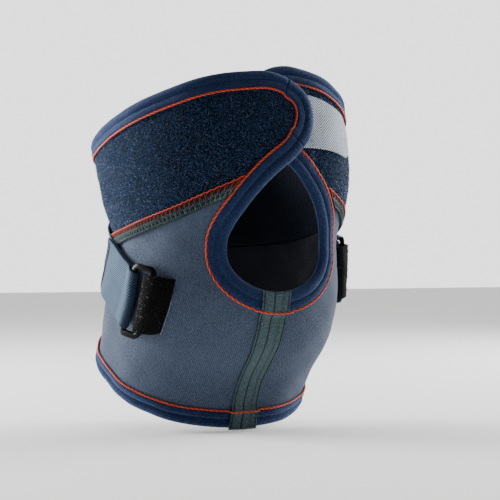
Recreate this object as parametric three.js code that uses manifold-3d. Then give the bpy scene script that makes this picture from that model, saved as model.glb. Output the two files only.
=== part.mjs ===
// A wrap-around knee brace with an open kneecap, in the form that it takes on a slightly bent leg.
// Millimetres, +Z up the leg. The kneecap looks along -Y, +X is the right side of that view, and
// the origin is the middle of the knee, inside the sleeve.
//
// Every piece is cloth or strap laid on one leg surface. A place on the cloth is written as
// x, the way round from the front centre, and z, the height. x runs from the tip of the left flap
// backwards round the leg: 0 is the front centre under the left flap, -GIRTH the same front centre
// under the right flap, so the two flaps can lie one over the other.
import * as THREE from "three";
import { mergeVertices } from "three/addons/utils/BufferGeometryUtils.js";
import Module from "manifold-3d";

// Sleeve
const KNEE_WIDTH = 120;
const KNEE_DEPTH = 120;
const RISE = 94; // knee centre up to the cut top edge, at the front
const DROP = 95; // knee centre down to the cut bottom edge, at the front
const SETBACK = 50; // how far the shin lies behind the knee at the lowest section
const ROUNDNESS = 2.35; // 2 is an ellipse, more is squarer
const WALL = 3;
const GAP = 0.3; // clearance between pieces that touch

// Kneecap hole and flaps
const HOLE_WIDTH = 58.8;
const HOLE_BELOW = 24; // the round lower part, under the widest line
const HOLE_LEVEL = 1; // height of the widest line
const HOLE_SHIFT = 2.1; // the hole lies this far to the right of the front centre
const FLAP_REACH = 14.3; // how far each flap passes the middle of the hole
const RIGHT_FLAP_RISE = 6.5; // the right flap is closed this much higher at the front
const RISE_END = 90; // and its extra height fades out this far from the front centre
const LAP_START = 66; // the left flap starts to climb over the right one here
const LAP_FULL = 20; // and lies fully on it here, both left of the front centre
const LAP_LOW = -15; // height where the climb begins
const LAP_HIGH = 36; // height where it is complete

// Trims
const BINDING_SKIN = 0.8;
const BINDING_GAP = 0.5; // between a binding and the panel inside it
const BINDING_WIDTH = 8.2;
const JOIN_GAP = 0.3; // each of two bindings stops this far from their join
const INNER_BINDING_SHARE = 0.7; // of the outer skin's width
const PIPING = 1.1;
const SEAM_WIDTH = 7.2;
const SEAM_SKIN = 0.6;
const SEAM_GAP = 0.5; // between the seam band and the panels under it
const SEAM_JOINT = 0.4; // slot between the panels' cut edges, under the seam band
const BAND_BLEND = 15; // length over which the band's slanted ends straighten
const HORN_CUT = 10; // the lower panel stops this far from the hole's middle, under the binding
const TAPE_WIDTH = 15.5;
const TAPE_SKIN = 0.7;
const TAPE_GAP = 0.55; // under the tape, where the shin is hollow
const TAPE_STEP = 4; // length over which the tape climbs a binding

// Closure tab
const TAB_HEIGHT = 29.5;
const TAB_SKIN = 1.2;
const TAB_START = 13; // under the left flap's end
const TAB_LENGTH = 37;
const TAB_BELOW_RIM = 27.8; // middle of the tab below the right flap's edge
const TAB_CORNER = 5;

// Buckles, elastic strap and loop straps
const BUCKLE_LENGTH = 38;
const BUCKLE_WIDTH = 16;
const BUCKLE_THICKNESS = 2.4;
const BUCKLE_BAR = 3.2;
const BUCKLE_CORNER = 4.6;
const BUCKLE_ROUND_LEFT = 69.5; // from the front centre round to the middle of the buckle
const BUCKLE_ROUND_RIGHT = 76;
const BUCKLE_DROP_LEFT = 26.5; // below the knee centre
const BUCKLE_DROP_RIGHT = 10;
const BUCKLE_TILT = THREE.MathUtils.degToRad(10.8);
const STRAP_CLEARANCE = 0.4;
const SEAM_PLAY = 0.4; // between the elastic strap and the seam band that it crosses
const STRAP_SIDE_PLAY = 1.3; // between a strap's edge and the buckle's end bar
const ELASTIC_SKIN = 1.1;
const ELASTIC_RETURN = 40; // the free end lies back over the strap for this length
const ELASTIC_REST = 9; // and comes down onto it over this length
const ELASTIC_BACK = 18; // height of the strap's middle at the centre back
const ELASTIC_BOW = 1.3; // 1 is a straight climb to the back
const HEADING_BLEND = 15; // length over which the strap turns off the buckle's own direction
const LOOP_SKIN = 1.6;
const LOOP_LENGTH = 9.5; // from the buckle's front bar to the slit
const LOOP_RETURN = 9;

const GIRTH = Math.PI * KNEE_DEPTH;
const HALF_HOLE = HOLE_WIDTH / 2;
const TRIM_TOP = BINDING_GAP + BINDING_SKIN;
const LAP_LIFT = WALL + TRIM_TOP + 2 * GAP + TAB_SKIN;
const BAR_AT = (BUCKLE_WIDTH - BUCKLE_BAR) / 2; // from a buckle's middle to its bars
const SLIT_AT = BAR_AT + LOOP_LENGTH;
const STRAP_WIDTH = BUCKLE_LENGTH - 2 * (BUCKLE_BAR + STRAP_SIDE_PLAY);
const ELASTIC_OFF = SEAM_GAP + SEAM_SKIN + SEAM_PLAY + ELASTIC_SKIN / 2; // its inner layer
const BAR_OFF = ELASTIC_OFF + (ELASTIC_SKIN + BUCKLE_THICKNESS) / 2 + STRAP_CLEARANCE;

// Mesh density
const STEP = 10; // spacing of the columns round the leg
const UPPER_ROWS = 8;
const LOWER_ROWS = 14;
const TAPE_COLUMNS = 22;
const TIP_SPAN = 20; // at a flap's tip the columns crowd within this length
const TIP_COLUMNS = [0.1, 1.2, 3, 6, 10, 15]; // at these distances from the tip
const SLIT_SHARES = [-1, -0.33, 0.33, 1]; // points down a slit, shares of half its length
const CURVE_STEPS = 3; // points per row of the flap table
const LOWER_STEPS = 7; // points on each lower quarter of the hole
const RINGS = 3; // rings of a cutter's faces
const PIPING_SIDES = 5;
const TURN_STEPS = 5; // steps of a strap round a bar

// Cross sections from the shin up. level: share of DROP or RISE. half: share of half the knee
// width. lean: share of SETBACK. front and back: shares of half the knee depth.
const SECTIONS = [
  { level: -1.16, half: 0.9, lean: 1.0, front: 1.15, back: 1.0 },
  { level: -0.95, half: 0.917, lean: 0.76, front: 1.042, back: 0.983 },
  { level: -0.737, half: 0.95, lean: 0.49, front: 0.975, back: 0.975 },
  { level: -0.526, half: 1.0, lean: 0.22, front: 1.05, back: 0.975 },
  { level: -0.316, half: 1.025, lean: 0.05, front: 1.05, back: 0.942 },
  { level: -0.084, half: 1.008, lean: 0, front: 1.042, back: 0.917 },
  { level: 0.085, half: 0.992, lean: -0.05, front: 1.008, back: 0.917 },
  { level: 0.266, half: 1.075, lean: -0.08, front: 1.025, back: 1.0 },
  { level: 0.479, half: 1.117, lean: -0.03, front: 1.075, back: 1.067 },
  { level: 0.798, half: 1.117, lean: 0.13, front: 1.117, back: 1.1 },
  { level: 1.117, half: 1.142, lean: 0.4, front: 1.183, back: 1.167 },
].map((row) => ({ ...row, z: row.level * (row.level < 0 ? DROP : RISE) }));

// Heights of the cut edges. turn: degrees from the front. rim and seam: shares of RISE.
// hem: share of DROP.
const EDGES = [
  { turn: 0, rim: 0.96, seam: 0.46, hem: 0.994 },
  { turn: 25, rim: 0.934, seam: 0.335, hem: 0.974 },
  { turn: 50, rim: 0.856, seam: 0.204, hem: 0.908 },
  { turn: 75, rim: 0.762, seam: 0.118, hem: 0.818 },
  { turn: 100, rim: 0.671, seam: 0.066, hem: 0.708 },
  { turn: 140, rim: 0.565, seam: 0.032, hem: 0.562 },
  { turn: 180, rim: 0.515, seam: 0.02, hem: 0.495 },
];

// A flap's cut edge from the side of the hole up round its rounded end to the rim.
// out: share of half the hole, or of FLAP_REACH beyond the hole's middle. up: share of the way
// from the hole's widest line to the rim. The bindings are joined at the rows named join.
const FLAP = [
  { out: -1, up: 0 },
  { out: -0.94, up: 0.126 },
  { out: -0.68, up: 0.278 },
  { out: -0.31, up: 0.416 },
  { out: 0.2, up: 0.526 },
  { out: 0.525, up: 0.584, join: "low" },
  { out: 0.81, up: 0.644 },
  { out: 1, up: 0.766 },
  { out: 0.82, up: 0.886 },
  { out: 0.26, up: 0.962, join: "high" },
  { out: -0.31, up: 1 },
  { out: -0.98, up: 1 },
];

// Cubic through a table's rows: the slope at a row is the weighted mean of its two sides
function smooth(rows, key, column, value, flatEnds = false) {
  const last = rows.length - 1;
  const slope = (i) => (rows[i + 1][column] - rows[i][column]) / (rows[i + 1][key] - rows[i][key]);
  const slopeAt = (i) => {
    if (i === 0) return flatEnds ? 0 : slope(0);
    if (i === last) return flatEnds ? 0 : slope(last - 1);
    const before = rows[i][key] - rows[i - 1][key];
    const after = rows[i + 1][key] - rows[i][key];
    return (after * slope(i - 1) + before * slope(i)) / (before + after);
  };
  let i = 0;
  while (i < last - 1 && value > rows[i + 1][key]) i += 1;
  const h = rows[i + 1][key] - rows[i][key];
  const t = (value - rows[i][key]) / h;
  const blend = t * t * (3 - 2 * t);
  return (
    rows[i][column] * (1 - blend) +
    rows[i + 1][column] * blend +
    h * t * (1 - t) * ((1 - t) * slopeAt(i) - t * slopeAt(i + 1))
  );
}

const ease = (t) => THREE.MathUtils.smoothstep(t, 0, 1);
const section = (column, z) => smooth(SECTIONS, "z", column, z);

// The outer face of the cloth, without the left flap's climb
function legPoint(x, z) {
  const turn = x / (KNEE_DEPTH / 2);
  const sin = Math.sin(turn);
  const cos = Math.cos(turn);
  const half = (section("half", z) * KNEE_WIDTH) / 2;
  const deep = (section(cos > 0 ? "front" : "back", z) * KNEE_DEPTH) / 2;
  const sum = Math.abs(sin / half) ** ROUNDNESS + Math.abs(cos / deep) ** ROUNDNESS;
  const radius = sum ** (-1 / ROUNDNESS);
  return new THREE.Vector3(radius * sin, section("lean", z) * SETBACK - radius * cos, z);
}

const PROBE = 0.4; // half the distance over which slopes are measured

function slopes(x, z, point) {
  const round = point(x + PROBE, z).sub(point(x - PROBE, z)).divideScalar(2 * PROBE);
  const up = point(x, z + PROBE).sub(point(x, z - PROBE)).divideScalar(2 * PROBE);
  return { round, up, out: round.clone().cross(up).normalize() };
}

const climb = (x, z) =>
  LAP_LIFT *
  ease((x + LAP_START) / (LAP_START - LAP_FULL)) *
  ease((z - LAP_LOW) / (LAP_HIGH - LAP_LOW));

// A point above the cloth's outer face: below it, inside the wall, off is negative
function at(x, z, off = 0) {
  const { out } = slopes(x, z, legPoint);
  return legPoint(x, z).addScaledVector(out, off + climb(x, z));
}

function edgeHeight(column, x) {
  const turn = THREE.MathUtils.radToDeg(x / (KNEE_DEPTH / 2));
  const folded = Math.abs(THREE.MathUtils.euclideanModulo(turn + 180, 360) - 180);
  return smooth(EDGES, "turn", column, folded, true);
}

const seamHeight = (x) => edgeHeight("seam", x) * RISE;
const hemHeight = (x) => -edgeHeight("hem", x) * DROP;
const rimHeight = (x) =>
  edgeHeight("rim", x) * RISE + RIGHT_FLAP_RISE * ease((RISE_END - GIRTH - x) / RISE_END);

// Meshes

function closedGeometry(points, faces) {
  let volume = 0;
  for (const [a, b, c] of faces) {
    volume += points[a].dot(points[b].clone().cross(points[c]));
  }
  const turned = volume < 0 ? faces.map(([a, b, c]) => [a, c, b]) : faces;
  const geometry = new THREE.BufferGeometry();
  geometry.setFromPoints(points);
  geometry.setIndex(turned.flat());
  return geometry;
}

const quad = (a, b, c, d) => [[a, b, c], [a, c, d]];

// A closed slab of columns by rows cells: point(i, j, face) with face 0 outside and 1 inside
function slab(columns, rows, point) {
  const points = [];
  const faces = [];
  const size = (columns + 1) * (rows + 1);
  const id = (i, j, face) => face * size + i * (rows + 1) + j;
  for (const face of [0, 1]) {
    for (let i = 0; i <= columns; i += 1) {
      for (let j = 0; j <= rows; j += 1) points.push(point(i, j, face));
    }
  }
  for (let i = 0; i < columns; i += 1) {
    for (let j = 0; j < rows; j += 1) {
      faces.push(...quad(id(i, j, 0), id(i + 1, j, 0), id(i + 1, j + 1, 0), id(i, j + 1, 0)));
      faces.push(...quad(id(i, j, 1), id(i, j + 1, 1), id(i + 1, j + 1, 1), id(i + 1, j, 1)));
    }
    faces.push(...quad(id(i, 0, 1), id(i + 1, 0, 1), id(i + 1, 0, 0), id(i, 0, 0)));
    faces.push(...quad(id(i, rows, 0), id(i + 1, rows, 0), id(i + 1, rows, 1), id(i, rows, 1)));
  }
  for (let j = 0; j < rows; j += 1) {
    faces.push(...quad(id(0, j, 0), id(0, j + 1, 0), id(0, j + 1, 1), id(0, j, 1)));
    faces.push(
      ...quad(id(columns, j, 1), id(columns, j + 1, 1), id(columns, j + 1, 0), id(columns, j, 0)),
    );
  }
  return closedGeometry(points, faces);
}

// A sheet between two offsets: place(x, share) gives the cloth place at a share of the height
function sheet(stations, rows, place, low, high) {
  return slab(stations.length - 1, rows, (i, j, face) => {
    const [x, z] = place(stations[i], j / rows);
    return at(x, z, face ? low : high);
  });
}

// For each place of a route, the step on the cloth that goes 1 mm into the piece, which lies on
// the left of the way along the route
function inwardSteps(route, looped = false) {
  const last = route.length - 1;
  const centres = route.map(([x, z]) => at(x, z));
  return route.map(([x, z], i) => {
    const next = centres[looped ? (i + 1) % route.length : Math.min(i + 1, last)];
    const before = centres[looped ? (i + last) % route.length : Math.max(i - 1, 0)];
    const { round, up, out } = slopes(x, z, at);
    const inward = out.clone().cross(next.clone().sub(before)).normalize();
    const rr = round.dot(round);
    const ru = round.dot(up);
    const uu = up.dot(up);
    const scale = rr * uu - ru * ru;
    return [
      (inward.dot(round) * uu - inward.dot(up) * ru) / scale,
      (inward.dot(up) * rr - inward.dot(round) * ru) / scale,
    ];
  });
}

// A section swept along a route of cloth places. The section's points are [across, off], across
// measured into the piece. Spare places at the two ends only give the route its direction there.
function sweep(route, sectionAt, { looped = false, spare = 0 } = {}) {
  const steps = inwardSteps(route, looped);
  const points = [];
  const kept = route.slice(spare, route.length - spare);
  kept.forEach(([x, z], i) => {
    const [dx, dz] = steps[i + spare];
    for (const [across, off] of sectionAt(i)) {
      points.push(at(x + across * dx, z + across * dz, off));
    }
  });
  const profile = sectionAt(0);
  const count = profile.length;
  const last = kept.length - 1;
  const faces = [];
  const spans = looped ? kept.length : last;
  for (let i = 0; i < spans; i += 1) {
    const here = i * count;
    const there = ((i + 1) % kept.length) * count;
    for (let k = 0; k < count; k += 1) {
      const l = (k + 1) % count;
      faces.push(...quad(here + k, there + k, there + l, here + l));
    }
  }
  if (!looped) {
    const flat = profile.map(([across, off]) => new THREE.Vector2(across, off));
    for (const [a, b, c] of THREE.ShapeUtils.triangulateShape(flat, [])) {
      const end = last * count;
      const caps = [[a, b, c], [end + a, end + c, end + b]];
      const clockwise = THREE.ShapeUtils.isClockWise(flat);
      faces.push(...(clockwise ? caps.map(([p, q, r]) => [p, r, q]) : caps));
    }
  }
  return closedGeometry(points, faces);
}

const span = (from, to, step) => {
  const count = Math.max(1, Math.round(Math.abs(to - from) / step));
  return Array.from({ length: count + 1 }, (_, i) => from + ((to - from) * i) / count);
};

// Flap edges

const SIDES = {
  left: { x: (out) => HOLE_SHIFT + out },
  right: { x: (out) => HOLE_SHIFT - out - GIRTH },
};

function holeLower(angle) {
  return [-HALF_HOLE * Math.cos(angle), HOLE_LEVEL - HOLE_BELOW * Math.sin(angle)];
}

// Cloth places of a flap's edge, in three stretches that its bindings follow
function flapEdge(side) {
  const place = ([out, z]) => [SIDES[side].x(out), z];
  const rows = FLAP.map(({ out, up }) => {
    const reach = out * (out < 0 ? HALF_HOLE : FLAP_REACH);
    const rim = rimHeight(SIDES[side].x(reach));
    return new THREE.Vector2(reach, HOLE_LEVEL + up * (rim - HOLE_LEVEL));
  });
  const curve = new THREE.SplineCurve([new THREE.Vector2(...holeLower(Math.PI / 6)), ...rows]);
  const stretch = (first, last) =>
    span(first, last, 1 / CURVE_STEPS).map((row) => {
      const point = curve.getPoint((row + 1) / rows.length);
      return place([point.x, point.y]);
    });
  const low = FLAP.findIndex(({ join }) => join === "low");
  const high = FLAP.findIndex(({ join }) => join === "high");
  const rimStart = FLAP.length - 2;
  const lower = span(Math.PI / 2, 0, Math.PI / 2 / LOWER_STEPS).slice(0, -1);
  const [rimX] = place([rows[rimStart].x, 0]);
  return {
    hole: [...lower.map((angle) => place(holeLower(angle))), ...stretch(0, low)],
    end: stretch(low, high),
    rim: [
      ...stretch(high, rimStart),
      ...span(rimX, -GIRTH / 2, STEP).slice(1).map((x) => [x, rimHeight(x)]),
    ],
  };
}

const leftEdge = flapEdge("left");
const rightEdge = flapEdge("right");
const back = (route) => [...route].reverse();
const holeRoute = [...back(rightEdge.hole).slice(0, -1), ...leftEdge.hole];
const rimRoute = [...leftEdge.rim, ...back(rightEdge.rim).slice(1)];
const upperRoute = [
  ...leftEdge.hole,
  ...leftEdge.end.slice(1),
  ...rimRoute.slice(1),
  ...back(rightEdge.end).slice(1),
  ...back(rightEdge.hole).slice(1),
];

// Height where a run of cloth places crosses x, or none
function crossing(route, x) {
  for (let i = 1; i < route.length; i += 1) {
    const [[x0, z0], [x1, z1]] = [route[i - 1], route[i]];
    if (x0 !== x1 && (x - x0) * (x - x1) <= 0) return z0 + ((z1 - z0) * (x - x0)) / (x1 - x0);
  }
  return null;
}

// Panels

function upperPanel() {
  const slot = SEAM_JOINT / 2;
  const tips = [leftEdge, rightEdge].map(({ end }) => end.map(([x]) => x));
  const leftTip = Math.max(...tips[0]);
  const rightTip = Math.min(...tips[1]);
  const inner = [
    ...span(rightTip + TIP_SPAN, -LAP_START, STEP),
    ...span(-LAP_START, leftTip - TIP_SPAN, STEP / 2).slice(1),
  ];
  const stations = [
    ...TIP_COLUMNS.map((d) => rightTip + d),
    ...inner,
    ...back(TIP_COLUMNS).map((d) => leftTip - d),
  ];
  const half = (x) => (x > -GIRTH / 2 ? leftEdge : rightEdge);
  const outline = (x) => {
    const { hole, end, rim } = half(x);
    const tip = end.findIndex(([px]) => px === leftTip || px === rightTip);
    const edge = crossing([...hole.slice(LOWER_STEPS), ...end.slice(1, tip + 1)], x);
    return [
      Math.max(seamHeight(x) + slot, edge ?? -DROP),
      crossing([...end.slice(tip), ...rim.slice(1)], x) ?? rimHeight(x),
    ];
  };
  const place = (x, share) => {
    const [bottom, top] = outline(x);
    return [x, THREE.MathUtils.lerp(bottom, top, share)];
  };
  return sheet(stations, UPPER_ROWS, place, -WALL, 0);
}

// A solid through the wall over a star-shaped outline. It reaches past both faces, also where the
// left flap has climbed, so it is laid out without the climb.
function cutter(outline, middle) {
  const reach = LAP_LIFT + WALL;
  const flat = ([x, z], off) => legPoint(x, z).addScaledVector(slopes(x, z, legPoint).out, off);
  const points = [];
  const faces = [];
  const count = outline.length;
  for (const off of [reach, -reach]) {
    points.push(flat(middle, off));
    for (let ring = 1; ring <= RINGS; ring += 1) {
      const share = ring / RINGS;
      for (const corner of outline) {
        points.push(flat(middle.map((m, axis) => m + (corner[axis] - m) * share), off));
      }
    }
  }
  const size = 1 + RINGS * count;
  const id = (layer, ring, k) => layer * size + (ring ? 1 + (ring - 1) * count + (k % count) : 0);
  for (let k = 0; k < count; k += 1) {
    faces.push([id(0, 0, 0), id(0, 1, k), id(0, 1, k + 1)]);
    faces.push([id(1, 0, 0), id(1, 1, k + 1), id(1, 1, k)]);
    for (let ring = 1; ring < RINGS; ring += 1) {
      faces.push(
        ...quad(id(0, ring, k), id(0, ring + 1, k), id(0, ring + 1, k + 1), id(0, ring, k + 1)),
        ...quad(id(1, ring, k), id(1, ring, k + 1), id(1, ring + 1, k + 1), id(1, ring + 1, k)),
      );
    }
    faces.push(...quad(id(1, RINGS, k), id(1, RINGS, k + 1), id(0, RINGS, k + 1), id(0, RINGS, k)));
  }
  return closedGeometry(points, faces);
}

const wasm = await Module();
wasm.setup();

function toManifold(geometry) {
  const bare = new THREE.BufferGeometry();
  bare.setAttribute("position", geometry.getAttribute("position"));
  bare.setIndex(geometry.getIndex());
  const merged = mergeVertices(bare, 1e-5);
  return new wasm.Manifold(
    new wasm.Mesh({
      numProp: 3,
      vertProperties: new Float32Array(merged.getAttribute("position").array),
      triVerts: new Uint32Array(merged.getIndex().array),
    }),
  );
}

function fromManifold(manifold) {
  const { numProp, vertProperties, triVerts } = manifold.getMesh();
  const geometry = new THREE.BufferGeometry();
  const positions = new Float32Array((vertProperties.length / numProp) * 3);
  for (let i = 0; i < positions.length / 3; i += 1) {
    positions.set(vertProperties.subarray(i * numProp, i * numProp + 3), i * 3);
  }
  geometry.setAttribute("position", new THREE.BufferAttribute(positions, 3));
  geometry.setIndex(new THREE.BufferAttribute(new Uint32Array(triVerts), 1));
  return geometry;
}

function lowerPanel() {
  const slot = SEAM_JOINT / 2;
  const stations = [
    ...span(-GIRTH + slot, -LAP_START, STEP),
    ...span(-LAP_START, -slot, STEP / 2).slice(1),
  ];
  const place = (x, share) => [
    x,
    THREE.MathUtils.lerp(hemHeight(x), seamHeight(x) - slot, share),
  ];
  const kept = ([x, z]) => z < HOLE_LEVEL || Math.abs(x - HOLE_SHIFT) >= HORN_CUT;
  const above = seamHeight(0) + WALL;
  const outline = [
    ...leftEdge.hole.filter(kept),
    [HOLE_SHIFT - HORN_CUT, above],
    [HOLE_SHIFT + HORN_CUT, above],
    ...back(rightEdge.hole.map(([x, z]) => [x + GIRTH, z]).filter(kept)).slice(0, -1),
  ];
  let panel = toManifold(sheet(stations, LOWER_ROWS, place, -WALL, 0));
  panel = panel.subtract(toManifold(cutter(outline, [HOLE_SHIFT, HOLE_LEVEL])));
  const halfSlit = LOOP_SKIN / 2 + STRAP_CLEARANCE;
  const halfLength = STRAP_WIDTH / 2 + STRAP_CLEARANCE;
  for (const buckle of [leftBuckle, rightBuckle]) {
    const side = (way, shares) =>
      shares.map((share) => buckle.place(SLIT_AT + way * halfSlit, share * halfLength));
    const slit = [...side(1, SLIT_SHARES), ...side(-1, back(SLIT_SHARES))];
    panel = panel.subtract(toManifold(cutter(slit, buckle.place(SLIT_AT, 0))));
  }
  return fromManifold(panel);
}

// Bindings, piping, seam band, tape and tab

function bindingSection() {
  const inside = BINDING_WIDTH * INNER_BINDING_SHARE;
  return [
    [BINDING_WIDTH, BINDING_GAP],
    [BINDING_WIDTH, TRIM_TOP],
    [0, TRIM_TOP],
    [-TRIM_TOP, -0.2 * WALL],
    [-TRIM_TOP, -0.8 * WALL],
    [0, -WALL - TRIM_TOP],
    [inside, -WALL - TRIM_TOP],
    [inside, -WALL - BINDING_GAP],
    [-BINDING_GAP, -WALL - BINDING_GAP],
    [-BINDING_GAP, BINDING_GAP],
  ];
}

// A stretch of a route with its ends drawn in, so that two bindings meet with a gap, and with one
// spare place before and after it
function stretchOf(before, route, after) {
  const drawn = ([x0, z0], [x1, z1]) => {
    const share = JOIN_GAP / Math.hypot(x1 - x0, z1 - z0);
    return [x0 + (x1 - x0) * share, z0 + (z1 - z0) * share];
  };
  const end = route.length - 1;
  return [
    before[before.length - 2],
    drawn(route[0], route[1]),
    ...route.slice(1, end),
    drawn(route[end], route[end - 1]),
    after[1],
  ];
}

function binding(route, options) {
  const profile = bindingSection();
  return sweep(route, () => profile, options);
}

function pipingSection() {
  const across = BINDING_WIDTH + GAP + PIPING / 2;
  return Array.from({ length: PIPING_SIDES }, (_, k) => {
    const angle = (k / PIPING_SIDES) * 2 * Math.PI;
    return [
      across + (PIPING / 2) * Math.cos(angle),
      BINDING_GAP + PIPING / 2 + (PIPING / 2) * Math.sin(angle),
    ];
  });
}

function upperPiping() {
  const side = leftEdge.hole.length;
  const profile = pipingSection();
  const route = upperRoute.filter(([x, z], i) => {
    const nearEnd = Math.min(i, upperRoute.length - 1 - i) < side;
    const round = x < -GIRTH / 2 ? x + GIRTH : x;
    return !(nearEnd && z < HOLE_LEVEL && Math.abs(round) < TAPE_WIDTH / 2 + GAP);
  });
  return sweep(route, () => profile);
}

const hemRoute = (from, to) => span(from, to, STEP).map((x) => [x, hemHeight(x)]);

function hemPiping() {
  const clear = TAPE_WIDTH / 2 + GAP;
  const profile = pipingSection();
  return sweep(hemRoute(-GIRTH + clear, -clear), () => profile);
}

// Cloth places just inside the piping of each half of the hole, left and right
const pipingLimits = [leftEdge, rightEdge].map(({ hole }, side) => {
  const clear = (BINDING_WIDTH + PIPING + 3 * GAP) * (side ? -1 : 1);
  const steps = inwardSteps(hole);
  return hole.map(([x, z], i) => [x + clear * steps[i][0], z + clear * steps[i][1]]);
});

// The flatlock seam's band, cut at both ends along the piping of the hole
function seamBand() {
  const ends = [-0.5, 0.5].map((share) =>
    pipingLimits.map((limit) => {
      const above = ([x, z]) => z - seamHeight(x) - share * SEAM_WIDTH;
      const i = limit.findIndex((place, k) => k > LOWER_STEPS && above(place) > 0);
      const [a, b] = [above(limit[i - 1]), above(limit[i])];
      return THREE.MathUtils.lerp(limit[i - 1][0], limit[i][0], a / (a - b));
    }),
  );
  const [[leftLow, rightLow], [leftHigh, rightHigh]] = ends;
  const from = (rightLow + rightHigh) / 2;
  const to = (leftLow + leftHigh) / 2;
  const place = (x, share) => {
    const shift =
      (leftHigh - leftLow) * ease(1 - (to - x) / BAND_BLEND) +
      (rightHigh - rightLow) * ease(1 - (x - from) / BAND_BLEND);
    const round = x + (share - 0.5) * shift;
    return [round, seamHeight(round) + (share - 0.5) * SEAM_WIDTH];
  };
  return sheet(span(from, to, STEP / 2), 2, place, SEAM_GAP, SEAM_GAP + SEAM_SKIN);
}

// The tape runs down the front from the hole to the hem, up and over both bindings
function frontTape() {
  const columns = span(0, 1, 1 / TAPE_COLUMNS);
  return slab(columns.length - 1, 2, (i, j, face) => {
    const x = (j / 2 - 0.5) * TAPE_WIDTH;
    const out = (x - HOLE_SHIFT) / HALF_HOLE;
    const top = HOLE_LEVEL - HOLE_BELOW * Math.sqrt(1 - out * out) + TRIM_TOP;
    const bottom = hemHeight(x) - TRIM_TOP;
    const z = THREE.MathUtils.lerp(bottom, top, columns[i]);
    const over = Math.min(z - bottom, top - z) - BINDING_WIDTH - TRIM_TOP - GAP;
    const low = TAPE_GAP + TRIM_TOP * (1 - ease(over / TAPE_STEP));
    return at(x - GIRTH, z, face ? low : low + TAPE_SKIN);
  });
}

// The tab's lower edge keeps clear of the piping
function closureTab() {
  const limit = pipingLimits[1].slice(LOWER_STEPS);
  const start = TAB_START - GIRTH;
  const end = start + TAB_LENGTH;
  const corner = [1, 0.7, 0.4, 0.15, 0].map((share) => end - TAB_CORNER * share);
  const stations = [...span(start, end - TAB_CORNER, STEP / 2).slice(0, -1), ...corner];
  const place = (x, share) => {
    const past = Math.max(0, x - end + TAB_CORNER);
    const cut = TAB_CORNER - Math.sqrt(TAB_CORNER ** 2 - past ** 2);
    const half = TAB_HEIGHT / 2 - cut;
    const middle = rimHeight(x) - TAB_BELOW_RIM;
    const bottom = Math.max(middle - half, crossing(limit, x) ?? -DROP);
    return [x, THREE.MathUtils.lerp(bottom, middle + half, share)];
  };
  return sheet(stations, 4, place, GAP, GAP + TAB_SKIN);
}

// Buckles and straps

// A strap folded from a run of [along, off] points: line gives the cloth place at a share of the
// width. Its two faces lie half the skin to either side of the run.
function strap(run, skin, line) {
  const faces = run.map(([along, off], i) => {
    const [a0, o0] = run[Math.max(i - 1, 0)];
    const [a1, o1] = run[Math.min(i + 1, run.length - 1)];
    const length = Math.hypot(a1 - a0, o1 - o0);
    const [na, no] = [-(o1 - o0) / length, (a1 - a0) / length];
    return [1, -1].map((way) => [along + (na * way * skin) / 2, off + (no * way * skin) / 2]);
  });
  return slab(run.length - 1, 3, (i, j, face) => {
    const [along, off] = faces[i][face];
    const [x, z] = line(along, j / 3);
    return at(x, z, off);
  });
}

// Half a turn of a strap round a bar at along, from over the bar to under it
function turnRound(along, way, skin) {
  const reach = STRAP_CLEARANCE + skin / 2;
  return span(0, 1, 1 / TURN_STEPS).map((share) => {
    const angle = share * Math.PI;
    return [
      along + way * (BUCKLE_BAR / 2 + reach) * Math.sin(angle),
      BAR_OFF + (BUCKLE_THICKNESS / 2 + reach) * Math.cos(angle),
    ];
  });
}

// Corners of a bar's section, as shares of half its width and half its thickness
const BAR_SECTION = [
  [1, 0.4], [0.55, 1], [-0.55, 1], [-1, 0.4], [-1, -0.4], [-0.55, -1], [0.55, -1], [1, -0.4],
];

// A rectangular ring with round corners
function buckleRing({ place }) {
  const half = [(BUCKLE_WIDTH - BUCKLE_BAR) / 2, (BUCKLE_LENGTH - BUCKLE_BAR) / 2];
  const radius = BUCKLE_CORNER - BUCKLE_BAR / 2;
  const centre = [];
  [[1, 1], [-1, 1], [-1, -1], [1, -1]].forEach(([sx, sy], corner) => {
    for (const share of [0, 0.33, 0.67, 1]) {
      const angle = ((corner + share) * Math.PI) / 2;
      centre.push([
        sx * (half[0] - radius) + radius * Math.cos(angle),
        sy * (half[1] - radius) + radius * Math.sin(angle),
      ]);
    }
    const [x, y] = centre[centre.length - 1];
    if (sx * sy < 0) centre.push([x, y * 0.5], [x, 0], [x, -y * 0.5]);
  });
  const points = [];
  centre.forEach(([x, y], i) => {
    const [x0, y0] = centre[(i + centre.length - 1) % centre.length];
    const [x1, y1] = centre[(i + 1) % centre.length];
    const length = Math.hypot(x1 - x0, y1 - y0);
    const [nx, ny] = [(y1 - y0) / length, -(x1 - x0) / length];
    for (const [wide, high] of BAR_SECTION) {
      const across = (wide * BUCKLE_BAR) / 2;
      const off = BAR_OFF + (high * BUCKLE_THICKNESS) / 2;
      points.push(at(...place(x + nx * across, y + ny * across), off));
    }
  });
  const faces = [];
  const count = BAR_SECTION.length;
  centre.forEach((_, i) => {
    const [here, there] = [i * count, ((i + 1) % centre.length) * count];
    for (let k = 0; k < count; k += 1) {
      const l = (k + 1) % count;
      faces.push(...quad(here + k, there + k, there + l, here + l));
    }
  });
  return closedGeometry(points, faces);
}

// A buckle's own axes: along points from its back bar to its front bar, up along its bars
function buckleFrame(way, round, drop) {
  const x = way < 0 ? -round : round - GIRTH;
  const [cos, sin] = [Math.cos(BUCKLE_TILT), Math.sin(BUCKLE_TILT)];
  const place = (along, up) => [
    x - way * (along * cos + up * sin),
    -drop - along * sin + up * cos,
  ];
  return { way, place };
}

const leftBuckle = buckleFrame(-1, BUCKLE_ROUND_LEFT, BUCKLE_DROP_LEFT);
const rightBuckle = buckleFrame(1, BUCKLE_ROUND_RIGHT, BUCKLE_DROP_RIGHT);

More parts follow.
